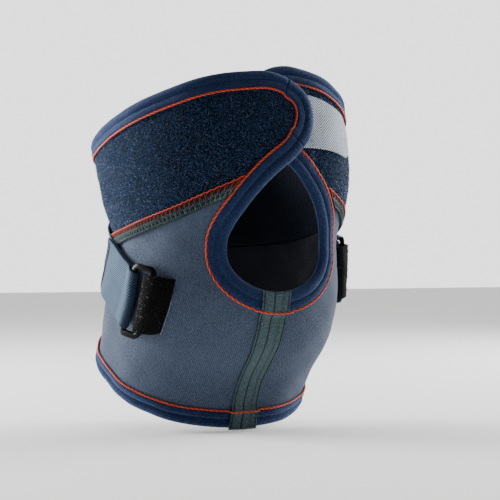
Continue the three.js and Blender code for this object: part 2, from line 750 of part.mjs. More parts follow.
// The short strap from the slit over the buckle's front bar and back under it
function loopStrap({ place }) {
  const over = BAR_OFF + BUCKLE_THICKNESS / 2 + STRAP_CLEARANCE + LOOP_SKIN / 2;
  const under = 2 * BAR_OFF - over;
  const run = [
    [SLIT_AT, GAP - WALL],
    [SLIT_AT, -0.2 * WALL],
    [SLIT_AT - 0.1 * LOOP_SKIN, 0.2 * LOOP_SKIN],
    [SLIT_AT - 0.7 * LOOP_SKIN, 0.3 * over],
    [SLIT_AT - 0.2 * LOOP_LENGTH, 0.52 * over],
    [SLIT_AT - 0.5 * LOOP_LENGTH, 0.8 * over],
    [SLIT_AT - 0.8 * LOOP_LENGTH, 0.97 * over],
    ...turnRound(BAR_AT, -1, LOOP_SKIN),
    [BAR_AT + LOOP_RETURN / 2, under],
    [BAR_AT + LOOP_RETURN, under],
  ];
  const line = (along, share) => place(along, (share - 0.5) * STRAP_WIDTH);
  return strap(run, LOOP_SKIN, line);
}

// One elastic strap round the back, folded over the back bars, with both ends laid back on it
function elasticStrap() {
  const bars = [leftBuckle, rightBuckle].map(({ place }) => place(-BAR_AT, 0));
  const middle = (x) => {
    const [bx, bz] = bars[x > -GIRTH / 2 ? 0 : 1];
    const share = THREE.MathUtils.clamp((x - bx) / (-GIRTH / 2 - bx), -0.1, 1);
    return bz + (ELASTIC_BACK - bz) * (1 - Math.pow(1 - share, ELASTIC_BOW));
  };
  const line = (x, share) => {
    const way = x > -GIRTH / 2 ? 1 : -1;
    const [bx] = bars[way > 0 ? 0 : 1];
    const climbing = Math.atan2(middle(x - way * PROBE) - middle(x + way * PROBE), 2 * PROBE);
    const lean = THREE.MathUtils.lerp(
      BUCKLE_TILT, climbing, ease((way * (bx - x)) / HEADING_BLEND),
    );
    const up = (share - 0.5) * STRAP_WIDTH;
    return [x + way * up * Math.sin(lean), middle(x) + up * Math.cos(lean)];
  };
  const high = 2 * BAR_OFF - ELASTIC_OFF;
  const rest = ELASTIC_OFF + ELASTIC_SKIN + GAP;
  const [[leftBar], [rightBar]] = bars;
  const returned = (bar, way) =>
    [1, 0.75, 0.5, ELASTIC_REST / ELASTIC_RETURN, 0.14, 0.06].map((share) => {
      const down = ease((share * ELASTIC_RETURN) / ELASTIC_REST);
      return [bar - way * share * ELASTIC_RETURN, THREE.MathUtils.lerp(high, rest, down)];
    });
  const run = [
    ...returned(leftBar, 1),
    ...turnRound(leftBar, 1, ELASTIC_SKIN),
    ...span(leftBar, rightBar, STEP).slice(1, -1).map((x) => [x, ELASTIC_OFF]),
    ...back(turnRound(rightBar, -1, ELASTIC_SKIN)),
    ...back(returned(rightBar, -1)),
  ];
  return strap(run, ELASTIC_SKIN, line);
}

// Colours and assembly

const NAVY = 0x223859;
const NAVY_PLUSH = 0x0f1c30;
const SLATE = 0x4d596b;
const SAGE = 0x4f676c;
const ORANGE = 0xd8492a;
const PALE_GREY = 0xa9b8bd;
const PALE_BLUE = 0x7f94a8;
const BLACK = 0x121415;

const CLOTH = { roughness: 0.95, metalness: 0 };
const WEBBING = { roughness: 0.8, metalness: 0 };
const PLASTIC = { roughness: 0.35, metalness: 0 };

const leftEnd = stretchOf(leftEdge.hole, leftEdge.end, leftEdge.rim);
const rimStretch = stretchOf(leftEdge.end, rimRoute, back(rightEdge.end));
const rightEnd = stretchOf(back(rightEdge.rim), back(rightEdge.end), back(rightEdge.hole));
const holeStretch = stretchOf(back(rightEdge.end), holeRoute, leftEdge.end);

const hemLoop = hemRoute(-GIRTH, 0).slice(1);

const pieces = [
  ["lower_panel", lowerPanel(), SLATE, CLOTH],
  ["upper_panel", upperPanel(), NAVY_PLUSH, CLOTH],
  ["seam_band", seamBand(), SAGE, WEBBING],
  ["binding_hem", binding(hemLoop, { looped: true }), NAVY, CLOTH],
  ["binding_rim", binding(rimStretch, { spare: 1 }), NAVY, CLOTH],
  ["binding_hole", binding(holeStretch, { spare: 1 }), NAVY, CLOTH],
  ["binding_flap_left", binding(leftEnd, { spare: 1 }), NAVY, CLOTH],
  ["binding_flap_right", binding(rightEnd, { spare: 1 }), NAVY, CLOTH],
  ["piping_hem", hemPiping(), ORANGE, WEBBING],
  ["piping_upper", upperPiping(), ORANGE, WEBBING],
  ["front_tape", frontTape(), SAGE, WEBBING],
  ["closure_tab", closureTab(), PALE_GREY, WEBBING],
  ["elastic_strap", elasticStrap(), PALE_BLUE, WEBBING],
  ["buckle_left", buckleRing(leftBuckle), BLACK, PLASTIC],
  ["buckle_right", buckleRing(rightBuckle), BLACK, PLASTIC],
  ["loop_strap_left", loopStrap(leftBuckle), BLACK, CLOTH],
  ["loop_strap_right", loopStrap(rightBuckle), BLACK, CLOTH],
];

const brace = new THREE.Group();
for (const [name, geometry, color, finish] of pieces) {
  geometry.computeVertexNormals();
  const mesh = new THREE.Mesh(geometry, new THREE.MeshStandardMaterial({ color, ...finish }));
  mesh.name = name;
  brace.add(mesh);
}

export default brace;
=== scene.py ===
import math

import bpy
import numpy as np
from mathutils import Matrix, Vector


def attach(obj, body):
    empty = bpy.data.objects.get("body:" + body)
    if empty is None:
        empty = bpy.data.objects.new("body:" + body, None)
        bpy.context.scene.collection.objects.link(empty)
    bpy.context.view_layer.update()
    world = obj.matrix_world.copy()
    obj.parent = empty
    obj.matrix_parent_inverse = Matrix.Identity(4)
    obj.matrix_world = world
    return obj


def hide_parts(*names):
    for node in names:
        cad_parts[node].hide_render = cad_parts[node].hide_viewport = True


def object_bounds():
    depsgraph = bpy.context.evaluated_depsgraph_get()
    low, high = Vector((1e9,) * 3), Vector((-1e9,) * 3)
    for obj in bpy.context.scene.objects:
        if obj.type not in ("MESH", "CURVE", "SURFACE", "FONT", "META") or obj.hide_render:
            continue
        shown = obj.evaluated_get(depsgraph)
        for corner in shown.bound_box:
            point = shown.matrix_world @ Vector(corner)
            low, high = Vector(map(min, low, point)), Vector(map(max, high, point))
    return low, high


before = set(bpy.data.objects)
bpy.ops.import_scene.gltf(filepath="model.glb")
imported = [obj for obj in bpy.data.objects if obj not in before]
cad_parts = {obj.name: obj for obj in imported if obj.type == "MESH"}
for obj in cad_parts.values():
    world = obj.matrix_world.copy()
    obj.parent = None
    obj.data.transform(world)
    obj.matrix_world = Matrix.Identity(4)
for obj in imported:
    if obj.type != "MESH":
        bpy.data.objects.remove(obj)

cad_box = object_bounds()
random = np.random.default_rng(7)
MM = 0.001

# Sleeve
KNEE_WIDTH = 120
KNEE_DEPTH = 120
RISE = 94
DROP = 95
SETBACK = 50
ROUNDNESS = 2.35
WALL = 3
GAP = 0.3
GIRTH = math.pi * KNEE_DEPTH

# Kneecap hole and flaps
HOLE_WIDTH = 58.8
HALF_HOLE = HOLE_WIDTH / 2
HOLE_BELOW = 24
HOLE_LEVEL = 1
HOLE_SHIFT = 2.1
FLAP_REACH = 14.3
RIGHT_FLAP_RISE = 6.5
RISE_END = 90
LAP_START = 66
LAP_FULL = 20
LAP_LOW = -15
LAP_HIGH = 36

# Trims
BINDING_SKIN = 0.8
BINDING_GAP = 0.5
TRIM_TOP = BINDING_GAP + BINDING_SKIN
RIM_BINDING = 8.2
HOLE_BINDING = 8.7
FLAP_BINDING = 9.6
INNER_BINDING_SHARE = 0.7
EDGE_INSET = 3.6  # the panels end this far inside their bindings' edge
PIPING = 0.98
SEAM_WIDTH = 7.2
SEAM_SKIN = 0.6
SEAM_GAP = 0.5
TAPE_WIDTH = 15.5
TAPE_SKIN = 0.7
TAPE_GAP = 0.55
TAPE_STEP = 4

# Closure tab
TAB_HEIGHT = 29.5
TAB_SKIN = 1.2
TAB_START = 13
TAB_LENGTH = 37
TAB_BELOW_RIM = 27.8
TAB_CORNER = 5
TAB_TAPER = 7  # its lower edge climbs this far
LAP_LIFT = WALL + TRIM_TOP + 2 * GAP + TAB_SKIN

# Buckles and straps
BUCKLE_LENGTH = 38
BUCKLE_WIDTH = 16
BUCKLE_THICKNESS = 2.4
BUCKLE_BAR = 3.2
BUCKLE_CORNER = 4.6
BUCKLE_ROUND_LEFT = 69.5
BUCKLE_ROUND_RIGHT = 76
BUCKLE_DROP_LEFT = 26.5
BUCKLE_DROP_RIGHT = 10
BUCKLE_TILT = math.radians(10.8)
STRAP_CLEARANCE = 0.4
SEAM_PLAY = 0.4
STRAP_SIDE_PLAY = 1.3
ELASTIC_SKIN = 1.1
ELASTIC_RETURN = 40
ELASTIC_REST = 9
ELASTIC_BACK = 18
ELASTIC_BOW = 1.3
HEADING_BLEND = 15
LOOP_SKIN = 1.6
LOOP_LENGTH = 9.5
LOOP_RETURN = 9
LOOP_FULLNESS = 0.9  # the plush strap bulges this far past the buckle's bar
STRAP_PINCH = 1.7
BAR_AT = (BUCKLE_WIDTH - BUCKLE_BAR) / 2
SLIT_AT = BAR_AT + LOOP_LENGTH
STRAP_WIDTH = BUCKLE_LENGTH - 2 * (BUCKLE_BAR + STRAP_SIDE_PLAY)
ELASTIC_OFF = SEAM_GAP + SEAM_SKIN + SEAM_PLAY + ELASTIC_SKIN / 2
BAR_OFF = ELASTIC_OFF + (ELASTIC_SKIN + BUCKLE_THICKNESS) / 2 + STRAP_CLEARANCE

# Columns: level (share of DROP or RISE), half width, lean, front, back (shares of the knee's)
SECTIONS = np.array([
    (-1.16, 0.9, 1.0, 1.15, 1.0),
    (-0.95, 0.917, 0.76, 1.042, 0.983),
    (-0.737, 0.95, 0.49, 0.975, 0.975),
    (-0.526, 1.0, 0.22, 1.05, 0.975),
    (-0.316, 1.025, 0.05, 1.05, 0.942),
    (-0.084, 1.008, 0, 1.042, 0.917),
    (0.085, 0.992, -0.05, 1.008, 0.917),
    (0.266, 1.075, -0.08, 1.025, 1.0),
    (0.479, 1.117, -0.03, 1.075, 1.067),
    (0.798, 1.117, 0.13, 1.117, 1.1),
    (1.117, 1.142, 0.4, 1.183, 1.167),
])
SECTIONS[:, 0] *= np.where(SECTIONS[:, 0] < 0, DROP, RISE)
HALF, LEAN, FRONT, BACK = 1, 2, 3, 4

# Columns: turn from the front in degrees, rim and seam (shares of RISE), hem (share of DROP)
EDGES = np.array([
    (0, 0.96, 0.46, 0.994),
    (25, 0.934, 0.335, 0.974),
    (50, 0.856, 0.204, 0.908),
    (75, 0.762, 0.118, 0.818),
    (100, 0.671, 0.066, 0.708),
    (140, 0.565, 0.032, 0.562),
    (180, 0.515, 0.02, 0.495),
])
RIM, SEAM, HEM = 1, 2, 3

# Columns: out (share of half the hole, or of FLAP_REACH), up (share from the widest line to the rim)
FLAP = np.array([
    (-1, 0), (-0.94, 0.126), (-0.68, 0.278), (-0.31, 0.416), (0.2, 0.526), (0.525, 0.584),
    (0.81, 0.644), (1, 0.766), (0.82, 0.886), (0.26, 0.962), (-0.31, 1), (-0.98, 1),
])
LOW_JOIN, HIGH_JOIN, RIM_START = 5, 9, 10  # rows of FLAP where the bindings are joined


# Surface

def lerp(a, b, share):
    return a + (b - a) * share


def ease(t):
    t = np.clip(t, 0, 1)
    return t * t * (3 - 2 * t)


class Buckle:
    """A buckle's own axes: along from its back bar to its front bar, up along its bars."""

    def __init__(self, name, way, round_, drop):
        self.name = name
        self.way = way
        self.drop = drop
        self.x = -round_ if way < 0 else round_ - GIRTH

    def place(self, along, up):
        cos, sin = math.cos(BUCKLE_TILT), math.sin(BUCKLE_TILT)
        return (
            self.x - self.way * (along * cos + up * sin),
            -self.drop - along * sin + up * cos,
        )

    def align(self, x, z):
        """Moves a grid's columns so that they follow the slit, and says which points lie in it."""
        half = LOOP_SKIN / 2 + STRAP_CLEARANCE
        tall = STRAP_WIDTH / 2 + STRAP_CLEARANCE
        middle_x, middle_z = self.place(SLIT_AT, 0)
        slant = -self.way * math.tan(BUCKLE_TILT)
        row = np.abs(z - middle_z)
        base = x[:, :1]
        columns = np.sort(np.argsort(np.abs(base[:, 0] - middle_x))[:3])
        lean = slant * np.clip(z - middle_z, -tall, tall) * ease(1 - (row - tall) / 20)
        fade = ease(1 - (np.abs(base - middle_x) - 4) / 16)
        moved = x + lean * fade
        snap = {columns[0]: -half, columns[-1]: half, columns[1]: 0}
        for column, shift in snap.items():
            moved[column] = middle_x + lean[column] + shift
        inside = np.zeros(x.shape, bool)
        cut = slice(columns[0], columns[-1] + 1)
        inside[cut] = row[cut] < tall * math.cos(BUCKLE_TILT)
        return moved, inside


BUCKLES = [
    Buckle("left", -1, BUCKLE_ROUND_LEFT, BUCKLE_DROP_LEFT),
    Buckle("right", 1, BUCKLE_ROUND_RIGHT, BUCKLE_DROP_RIGHT),
]


def elastic_middle(x):
    left_x, left_z = BUCKLES[0].place(-BAR_AT, 0)
    right_x, right_z = BUCKLES[1].place(-BAR_AT, 0)
    left = x > -GIRTH / 2
    bx, bz = np.where(left, left_x, right_x), np.where(left, left_z, right_z)
    share = np.clip((x - bx) / (-GIRTH / 2 - bx), -0.1, 1)
    return bz + (ELASTIC_BACK - bz) * (1 - (1 - share) ** ELASTIC_BOW)


def smooth(table, column, value, flat_ends=False):
    """Cubic through a table's rows: the slope at a row is the weighted mean of its two sides."""
    keys, held = table[:, 0], table[:, column]
    step = np.diff(keys)
    slope = np.diff(held) / step
    inner = (step[1:] * slope[:-1] + step[:-1] * slope[1:]) / (step[:-1] + step[1:])
    first, last = (0, 0) if flat_ends else (slope[0], slope[-1])
    slopes = np.concatenate([[first], inner, [last]])
    i = np.clip(np.searchsorted(keys, value) - 1, 0, len(keys) - 2)
    t = (value - keys[i]) / step[i]
    blend = t * t * (3 - 2 * t)
    return (
        held[i] * (1 - blend) + held[i + 1] * blend
        + step[i] * t * (1 - t) * ((1 - t) * slopes[i] - t * slopes[i + 1])
    )


def leg_point(x, z):
    turn = x / (KNEE_DEPTH / 2)
    sin, cos = np.sin(turn), np.cos(turn)
    half = smooth(SECTIONS, HALF, z) * KNEE_WIDTH / 2
    deep = np.where(cos > 0, smooth(SECTIONS, FRONT, z), smooth(SECTIONS, BACK, z)) * KNEE_DEPTH / 2
    radius = (np.abs(sin / half) ** ROUNDNESS + np.abs(cos / deep) ** ROUNDNESS) ** (-1 / ROUNDNESS)
    lean = smooth(SECTIONS, LEAN, z) * SETBACK
    return np.stack([radius * sin, lean - radius * cos, z], -1)


PROBE = 0.4


def slopes_at(x, z, point):
    round_ = (point(x + PROBE, z) - point(x - PROBE, z)) / (2 * PROBE)
    up = (point(x, z + PROBE) - point(x, z - PROBE)) / (2 * PROBE)
    out = np.cross(round_, up)
    return round_, up, out / np.linalg.norm(out, axis=-1, keepdims=True)


def climb(x, z):
    return (
        LAP_LIFT * ease((x + LAP_START) / (LAP_START - LAP_FULL))
        * ease((z - LAP_LOW) / (LAP_HIGH - LAP_LOW))
    )


RIPPLES = [(11, 0.3), (19, 0.75), (31, 0.05)]  # columns: wavelength in mm, direction in turns
RIPPLE_DEPTH = 0.006  # share of the wavelength


def ripple(x, z):
    total = 0
    for length, direction in RIPPLES:
        along = x * math.cos(math.pi * direction) + z * math.sin(math.pi * direction)
        total = total + RIPPLE_DEPTH * length * np.sin(2 * math.pi * along / length + length)
    return total


def pinch(x, z):
    """The elastic strap draws the cloth in along its way round the back."""
    side = ease((BUCKLES[0].x + 12 - x) / 22) * ease((x - BUCKLES[1].x + 12) / 22)
    return -STRAP_PINCH * side * np.exp(-(((z - elastic_middle(x)) / 17) ** 2))


def at(x, z, off=0.0):
    """A point above the cloth's outer face; below it, inside the wall, off is negative."""
    x, z, off = np.broadcast_arrays(*(np.asarray(v, float) for v in (x, z, off)))
    out = slopes_at(x, z, leg_point)[2]
    return leg_point(x, z) + out * (off + climb(x, z) + ripple(x, z) + pinch(x, z))[..., None]


def edge_height(column, x):
    turn = np.degrees(np.asarray(x, float) / (KNEE_DEPTH / 2))
    return smooth(EDGES, column, np.abs((turn + 180) % 360 - 180), True)


def seam_height(x):
    return edge_height(SEAM, x) * RISE


def hem_height(x):
    return -edge_height(HEM, x) * DROP


def rim_height(x):
    x = np.asarray(x, float)
    return edge_height(RIM, x) * RISE + RIGHT_FLAP_RISE * ease((RISE_END - GIRTH - x) / RISE_END)


# Routes along the edges

def spaced(start, end, step):
    return np.linspace(start, end, max(1, round(abs(end - start) / step)) + 1)


def hole_lower(angle):
    return np.stack([-HALF_HOLE * np.cos(angle), HOLE_LEVEL - HOLE_BELOW * np.sin(angle)], -1)


CURVE_STEPS = 12


def flap_edge(side):
    """Cloth places of a flap's edge: the hole, the flap's end, and the rim to the centre back."""
    def place(points):
        out = points[:, 0]
        x = HOLE_SHIFT + out if side == "left" else HOLE_SHIFT - out - GIRTH
        return np.stack([x, points[:, 1]], -1)

    out, up = FLAP[:, 0], FLAP[:, 1]
    reach = out * np.where(out < 0, HALF_HOLE, FLAP_REACH)
    rim = rim_height(place(np.stack([reach, up], -1))[:, 0])
    rows = np.stack([reach, HOLE_LEVEL + up * (rim - HOLE_LEVEL)], -1)
    knots = np.concatenate([[hole_lower(math.pi / 6)] * 2, rows, rows[-1:]])

    def stretch(first, last):
        row = spaced(first, last, 1 / CURVE_STEPS) + 1
        i = np.minimum(row.astype(int), len(rows) - 1)
        t = (row - i)[:, None]
        p0, p1, p2, p3 = (knots[i + k] for k in range(4))
        v0, v1 = (p2 - p0) / 2, (p3 - p1) / 2
        return place(
            (2 * p1 - 2 * p2 + v0 + v1) * t**3 + (3 * p2 - 3 * p1 - 2 * v0 - v1) * t**2 + v0 * t + p1
        )

    lower = place(hole_lower(spaced(math.pi / 2, 0, 0.05)))
    start = place(rows[RIM_START:RIM_START + 1])[0, 0]
    round_ = spaced(start, -GIRTH / 2, 2)[1:]
    return {
        "lower": lower[:-1],
        "side": stretch(0, LOW_JOIN),
        "end": stretch(LOW_JOIN, HIGH_JOIN),
        "rim": np.concatenate([
            stretch(HIGH_JOIN, RIM_START), np.stack([round_, rim_height(round_)], -1),
        ]),
    }


LEFT, RIGHT = flap_edge("left"), flap_edge("right")
for edge in (LEFT, RIGHT):
    edge["hole"] = np.concatenate([edge["lower"], edge["side"]])
HOLE_ROUTE = np.concatenate([RIGHT["hole"][::-1][:-1], LEFT["hole"]])
RIM_ROUTE = np.concatenate([LEFT["rim"], RIGHT["rim"][::-1][1:]])
UPPER_ROUTE = np.concatenate([
    LEFT["hole"], LEFT["end"][1:], RIM_ROUTE[1:], RIGHT["end"][::-1][1:], RIGHT["hole"][::-1][1:],
])


def hem_route(start, end):
    x = spaced(start, end, 2)
    return np.stack([x, hem_height(x)], -1)


def lengths(points):
    return np.concatenate([[0], np.cumsum(np.linalg.norm(np.diff(points, axis=0), axis=1))])


def even(route, step):
    """The same route with places a step apart, measured on the cloth."""
    run = lengths(at(route[:, 0], route[:, 1]))
    wanted = np.linspace(0, run[-1], max(2, round(run[-1] / step) + 1))
    x = np.unwrap(route[:, 0], period=GIRTH)
    turns = (route[:, 0] - x)[np.searchsorted(run, wanted - 1e-6)]
    return np.stack([np.interp(wanted, run, x) + turns, np.interp(wanted, run, route[:, 1])], -1)


def inward_steps(route, looped=False):
    """For each place, the step on the cloth that goes 1 mm to the left of the way along it."""
    x, z = route.T
    centres = at(x, z)
    if looped:
        ahead = np.roll(centres, -1, 0) - np.roll(centres, 1, 0)
    else:
        ahead = np.gradient(centres, axis=0)
    round_, up, out = slopes_at(x, z, at)
    inward = np.cross(out, ahead)
    inward /= np.linalg.norm(inward, axis=-1, keepdims=True)
    rr, ru, uu = ((a * b).sum(-1) for a, b in ((round_, round_), (round_, up), (up, up)))
    ir, iu = (inward * round_).sum(-1), (inward * up).sum(-1)
    scale = rr * uu - ru * ru
    return np.stack([(ir * uu - iu * ru) / scale, (iu * rr - ir * ru) / scale], -1)


# Meshes

def add_piece(name, points, faces, cloth, material, nodes):
    """cloth gives each point its place in the weave (mm along, mm across) and a third number."""
    points, cloth = points.reshape(-1, 3), cloth.reshape(-1, 3)
    used = np.unique(np.concatenate([np.unique(f) for f in faces]))
    new = np.full(len(points), -1)
    new[used] = np.arange(len(used))
    mesh = bpy.data.meshes.new(name)
    corners = [face for block in faces for face in new[block].tolist()]
    mesh.from_pydata((points[used] * MM).tolist(), [], corners)
    mesh.attributes.new("cloth", "FLOAT_VECTOR", "POINT").data.foreach_set(
        "vector", cloth[used].astype(np.float32).ravel()
    )
    mesh.shade_smooth()
    mesh.materials.append(material)
    piece = bpy.data.objects.new(name, mesh)
    bpy.context.scene.collection.objects.link(piece)
    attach(piece, "root")
    if nodes:
        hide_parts(*nodes)
    return piece


def tube_faces(count, stations, sides, looped):
    """Faces of count tubes of stations by sides points, with flat ends unless they are looped."""
    spans = stations if looped else stations - 1
    c, i, k = (a.ravel() for a in np.meshgrid(*map(np.arange, (count, spans, sides)), indexing="ij"))
    there, beside = (i + 1) % stations, (k + 1) % sides

    def point(row, column):
        return (c * stations + row) * sides + column

    faces = [np.stack([point(i, k), point(there, k), point(there, beside), point(i, beside)], -1)]
    if not looped:
        ring = np.arange(sides)
        tube = np.arange(count)[:, None] * stations * sides
        faces += [tube + ring, tube + (stations - 1) * sides + ring[::-1]]
    return faces


def tube_cloth(points):
    """Measures the points of one tube along it and round its section."""
    middle = points.mean(1)
    along = lengths(middle)[:, None]
    round_ = lengths(points[len(points) // 2])[None, :]
    return np.stack(np.broadcast_arrays(along, round_, 0 * along * round_), -1)


def add_tube(name, points, material, nodes, looped=False, cloth=None):
    stations, sides, _ = points.shape
    cloth = tube_cloth(points) if cloth is None else cloth
    faces = tube_faces(1, stations, sides, looped)
    return add_piece(name, points, faces, cloth, material, nodes)


THREAD_SIDES = 5


def add_threads(name, centres, outs, radius, material):
    """Many short threads: centres and outs are count by steps points and surface normals."""
    ahead = np.gradient(centres, axis=1)
    ahead /= np.linalg.norm(ahead, axis=-1, keepdims=True)
    beside = np.cross(ahead, outs)
    beside /= np.linalg.norm(beside, axis=-1, keepdims=True)
    rise = np.cross(beside, ahead)
    angle = np.arange(THREAD_SIDES)[:, None] / THREAD_SIDES * 2 * math.pi
    points = centres[:, :, None] + radius * (
        np.cos(angle) * beside[:, :, None] + np.sin(angle) * rise[:, :, None]
    )
    count, steps = centres.shape[:2]
    cloth = np.zeros(points.shape)
    cloth[..., 0] = np.arange(steps)[None, :, None]
    cloth[..., 2] = random.random((count, 1, 1))
    faces = tube_faces(count, steps, THREAD_SIDES, False)
    add_piece(name, points, faces, cloth, material, [])


def add_sheet(name, outer, inner, kept, cloth, material, nodes):
    """A closed cloth wall between two grids of points, over the cells that are kept."""
    columns, rows = outer.shape[:2]
    size = columns * rows
    index = np.arange(size).reshape(columns, rows)
    i, j = np.nonzero(kept)
    corners = np.stack([index[i, j], index[i + 1, j], index[i + 1, j + 1], index[i, j + 1]], -1)
    faces = [corners, corners[:, ::-1] + size]
    padded = np.pad(kept, 1)
    for way, (di, dj) in enumerate([(0, -1), (1, 0), (0, 1), (-1, 0)]):
        open_ = ~padded[i + 1 + di, j + 1 + dj]
        a, b = corners[open_, way], corners[open_, (way + 1) % 4]
        faces.append(np.stack([b, a, a + size, b + size], -1))
    points = np.stack([outer, inner])
    both = np.stack([cloth, cloth])
    both[1, ..., 2] = 1
    return add_piece(name, points, faces, both, material, nodes)


# Materials

def rgb(code):
    """A colour written as in a colour picker, made linear."""
    parts = [int(code[k:k + 2], 16) / 255 for k in (1, 3, 5)]
    return (*(p / 12.92 if p <= 0.04045 else ((p + 0.055) / 1.055) ** 2.4 for p in parts), 1)


class Cloth:
    """A procedural material: the shader and short ways to wire nodes into it."""

    def __init__(self, name, roughness, specular, sheen=None):
        """sheen is its weight, roughness and tint."""
        self.material = bpy.data.materials.new(name)
        self.material.use_nodes = True
        self.tree = self.material.node_tree
        self.shader = self.tree.nodes["Principled BSDF"]
        self.set("Roughness", roughness)
        self.set("Specular IOR Level", specular)
        if sheen:
            weight, rough, tint = sheen
            self.set("Sheen Weight", weight)
            self.set("Sheen Roughness", rough)
            self.set("Sheen Tint", rgb(tint))

    def set(self, socket, value):
        self.shader.inputs[socket].default_value = value

    def wire(self, socket, value):
        if isinstance(value, bpy.types.NodeSocket):
            self.tree.links.new(value, socket)
        elif value is not None:
            socket.default_value = value

    def node(self, kind, **settings):
        made = self.tree.nodes.new("ShaderNode" + kind)
        for key, value in settings.items():
            setattr(made, key, value)
        return made

    def math(self, operation, *values):
        made = self.node("Math", operation=operation)
        for socket, value in zip(made.inputs, values):
            self.wire(socket, value)
        return made.outputs[0]

    def add(self, first, second):
        return self.math("ADD", first, second)

    def times(self, first, second):
        return self.math("MULTIPLY", first, second)

    def place(self):
        """mm along, mm across and the third number of the cloth's places."""
        made = self.node("Attribute", attribute_name="cloth")
        split = self.node("SeparateXYZ")
        self.wire(split.inputs[0], made.outputs["Vector"])
        return split.outputs

    def noise(self, size, detail=2.0):
        """Noise of about size mm."""
        made = self.node("TexNoise")
        where = self.node("TexCoord")
        self.wire(made.inputs["Vector"], where.outputs["Object"])
        made.inputs["Scale"].default_value = 1 / (size * MM)
        made.inputs["Detail"].default_value = detail
        return made.outputs["Fac"]

    def between(self, value, low, high):
        made = self.node("MapRange", interpolation_type="SMOOTHSTEP")
        self.wire(made.inputs["Value"], value)
        made.inputs["From Min"].default_value = low
        made.inputs["From Max"].default_value = high
        return made.outputs["Result"]

    def mix(self, share, first, second):
        made = self.node("Mix", data_type="RGBA")
        self.wire(made.inputs[0], share)
        self.wire(made.inputs[6], first)
        self.wire(made.inputs[7], second)
        return made.outputs[2]

    def wave(self, value, pitch):
        """A wave from 0 to 1 and back over each pitch of mm."""
        turned = self.math("SINE", self.times(value, 2 * math.pi / pitch))
        return self.math("MULTIPLY_ADD", turned, 0.5, 0.5)

    def color(self, value):
        self.wire(self.shader.inputs["Base Color"], value)

    def bump(self, height, depth):
        """Raises the surface by depth mm where height is 1."""
        made = self.node("Bump")
        made.inputs["Distance"].default_value = depth * MM
        self.wire(made.inputs["Height"], height)
        self.wire(self.shader.inputs["Normal"], made.outputs[0])


def slate_knit():
    cloth = Cloth("slate_knit", 0.86, 0.2, sheen=(0.45, 0.3, "#b4bdd2"))
    along, across, inside = cloth.place()
    twill = cloth.wave(cloth.add(along, cloth.times(across, 0.7)), 1.15)
    ribs = cloth.wave(cloth.math("SUBTRACT", along, cloth.times(across, 0.5)), 0.6)
    grain = cloth.between(cloth.noise(0.7), 0.35, 0.65)
    broad = cloth.noise(14)
    height = cloth.add(cloth.times(twill, 0.6), cloth.times(grain, 0.6))
    height = cloth.add(height, cloth.times(ribs, 0.25))
    base = cloth.mix(broad, rgb("#181e28"), rgb("#202833"))
    speckled = cloth.mix(cloth.times(height, 0.6), base, rgb("#586780"))
    cloth.color(cloth.mix(inside, speckled, rgb("#1b1f27")))
    cloth.bump(height, 0.2)
    return cloth.material


def navy_plush():
    cloth = Cloth("navy_plush", 0.95, 0.1, sheen=(0.25, 0.3, "#6f90c8"))
    _, _, inside = cloth.place()
    grain = cloth.between(cloth.noise(0.8), 0.42, 0.62)
    base = cloth.mix(grain, rgb("#020509"), rgb("#1d3556"))
    cloth.color(cloth.mix(inside, base, rgb("#1b1f27")))
    cloth.bump(grain, 0.4)
    return cloth.material


def navy_pile():
    cloth = Cloth("navy_pile", 0.9, 0.2, sheen=(1.0, 0.25, "#dbe6ff"))
    _, _, chance = cloth.place()
    cloth.color(cloth.mix(cloth.between(chance, 0.35, 1.0), rgb("#050a14"), rgb("#3f6192")))
    return cloth.material


def navy_binding():
    cloth = Cloth("navy_binding", 0.9, 0.2, sheen=(0.75, 0.35, "#8ca8e0"))
    along, across, _ = cloth.place()
    drift = cloth.times(cloth.noise(2.5), 1.6)
    ribs = cloth.wave(cloth.add(along, drift), 0.85)
    rows = cloth.wave(cloth.add(across, drift), 0.7)
    grain = cloth.between(cloth.noise(0.45, 3), 0.3, 0.7)
    height = cloth.add(cloth.times(ribs, rows), grain)
    cloth.color(cloth.mix(cloth.between(height, 0.3, 1.5), rgb("#0a1326"), rgb("#21396a")))
    cloth.bump(height, 0.14)
    return cloth.material


def twisted_cord():
    cloth = Cloth("orange_cord", 0.6, 0.3, sheen=(0.15, 0.4, "#ff8a66"))
    _, _, painted_valley_shade = cloth.place()
    # painted shade: the cord is coloured darker in the valleys between its two strands
    cloth.color(cloth.mix(cloth.between(painted_valley_shade, 0.35, 0.95), rgb("#d9492a"), rgb("#5e170b")))
    cloth.bump(cloth.noise(0.3), 0.06)
    return cloth.material


def plain_thread(name, dark, light, glow=0.15):
    cloth = Cloth(name, 0.7, 0.3, sheen=(glow, 0.4, light))
    cloth.color(cloth.mix(cloth.between(cloth.noise(0.5), 0.35, 0.65), rgb(dark), rgb(light)))
    return cloth.material


def sage_tape():
    cloth = Cloth("sage_tape", 0.82, 0.25, sheen=(0.35, 0.4, "#a9c2c4"))
    along, across, groove = cloth.place()
    ribs = cloth.wave(along, 0.75)
    warp = cloth.wave(across, 0.7)
    grain = cloth.between(cloth.noise(0.6), 0.3, 0.7)
    height = cloth.add(cloth.times(ribs, warp), cloth.times(grain, 0.6))
    woven = cloth.mix(cloth.between(height, 0.2, 1.3), rgb("#26363b"), rgb("#5d757b"))
    # painted shade: the tape is coloured near black in its grooves, deeper grooves darker
    cloth.color(cloth.mix(cloth.between(groove, 0.02, 0.3), woven, rgb("#141f23")))
    cloth.bump(height, 0.15)
    return cloth.material


def seam_base():
    cloth = Cloth("seam_base", 0.85, 0.2, sheen=(0.3, 0.4, "#9fb4b8"))
    _, _, share = cloth.place()
    cloth.color(cloth.mix(cloth.between(share, 0.45, 0.6), rgb("#1b272b"), rgb("#0b1016")))
    cloth.bump(cloth.noise(0.6), 0.1)
    return cloth.material


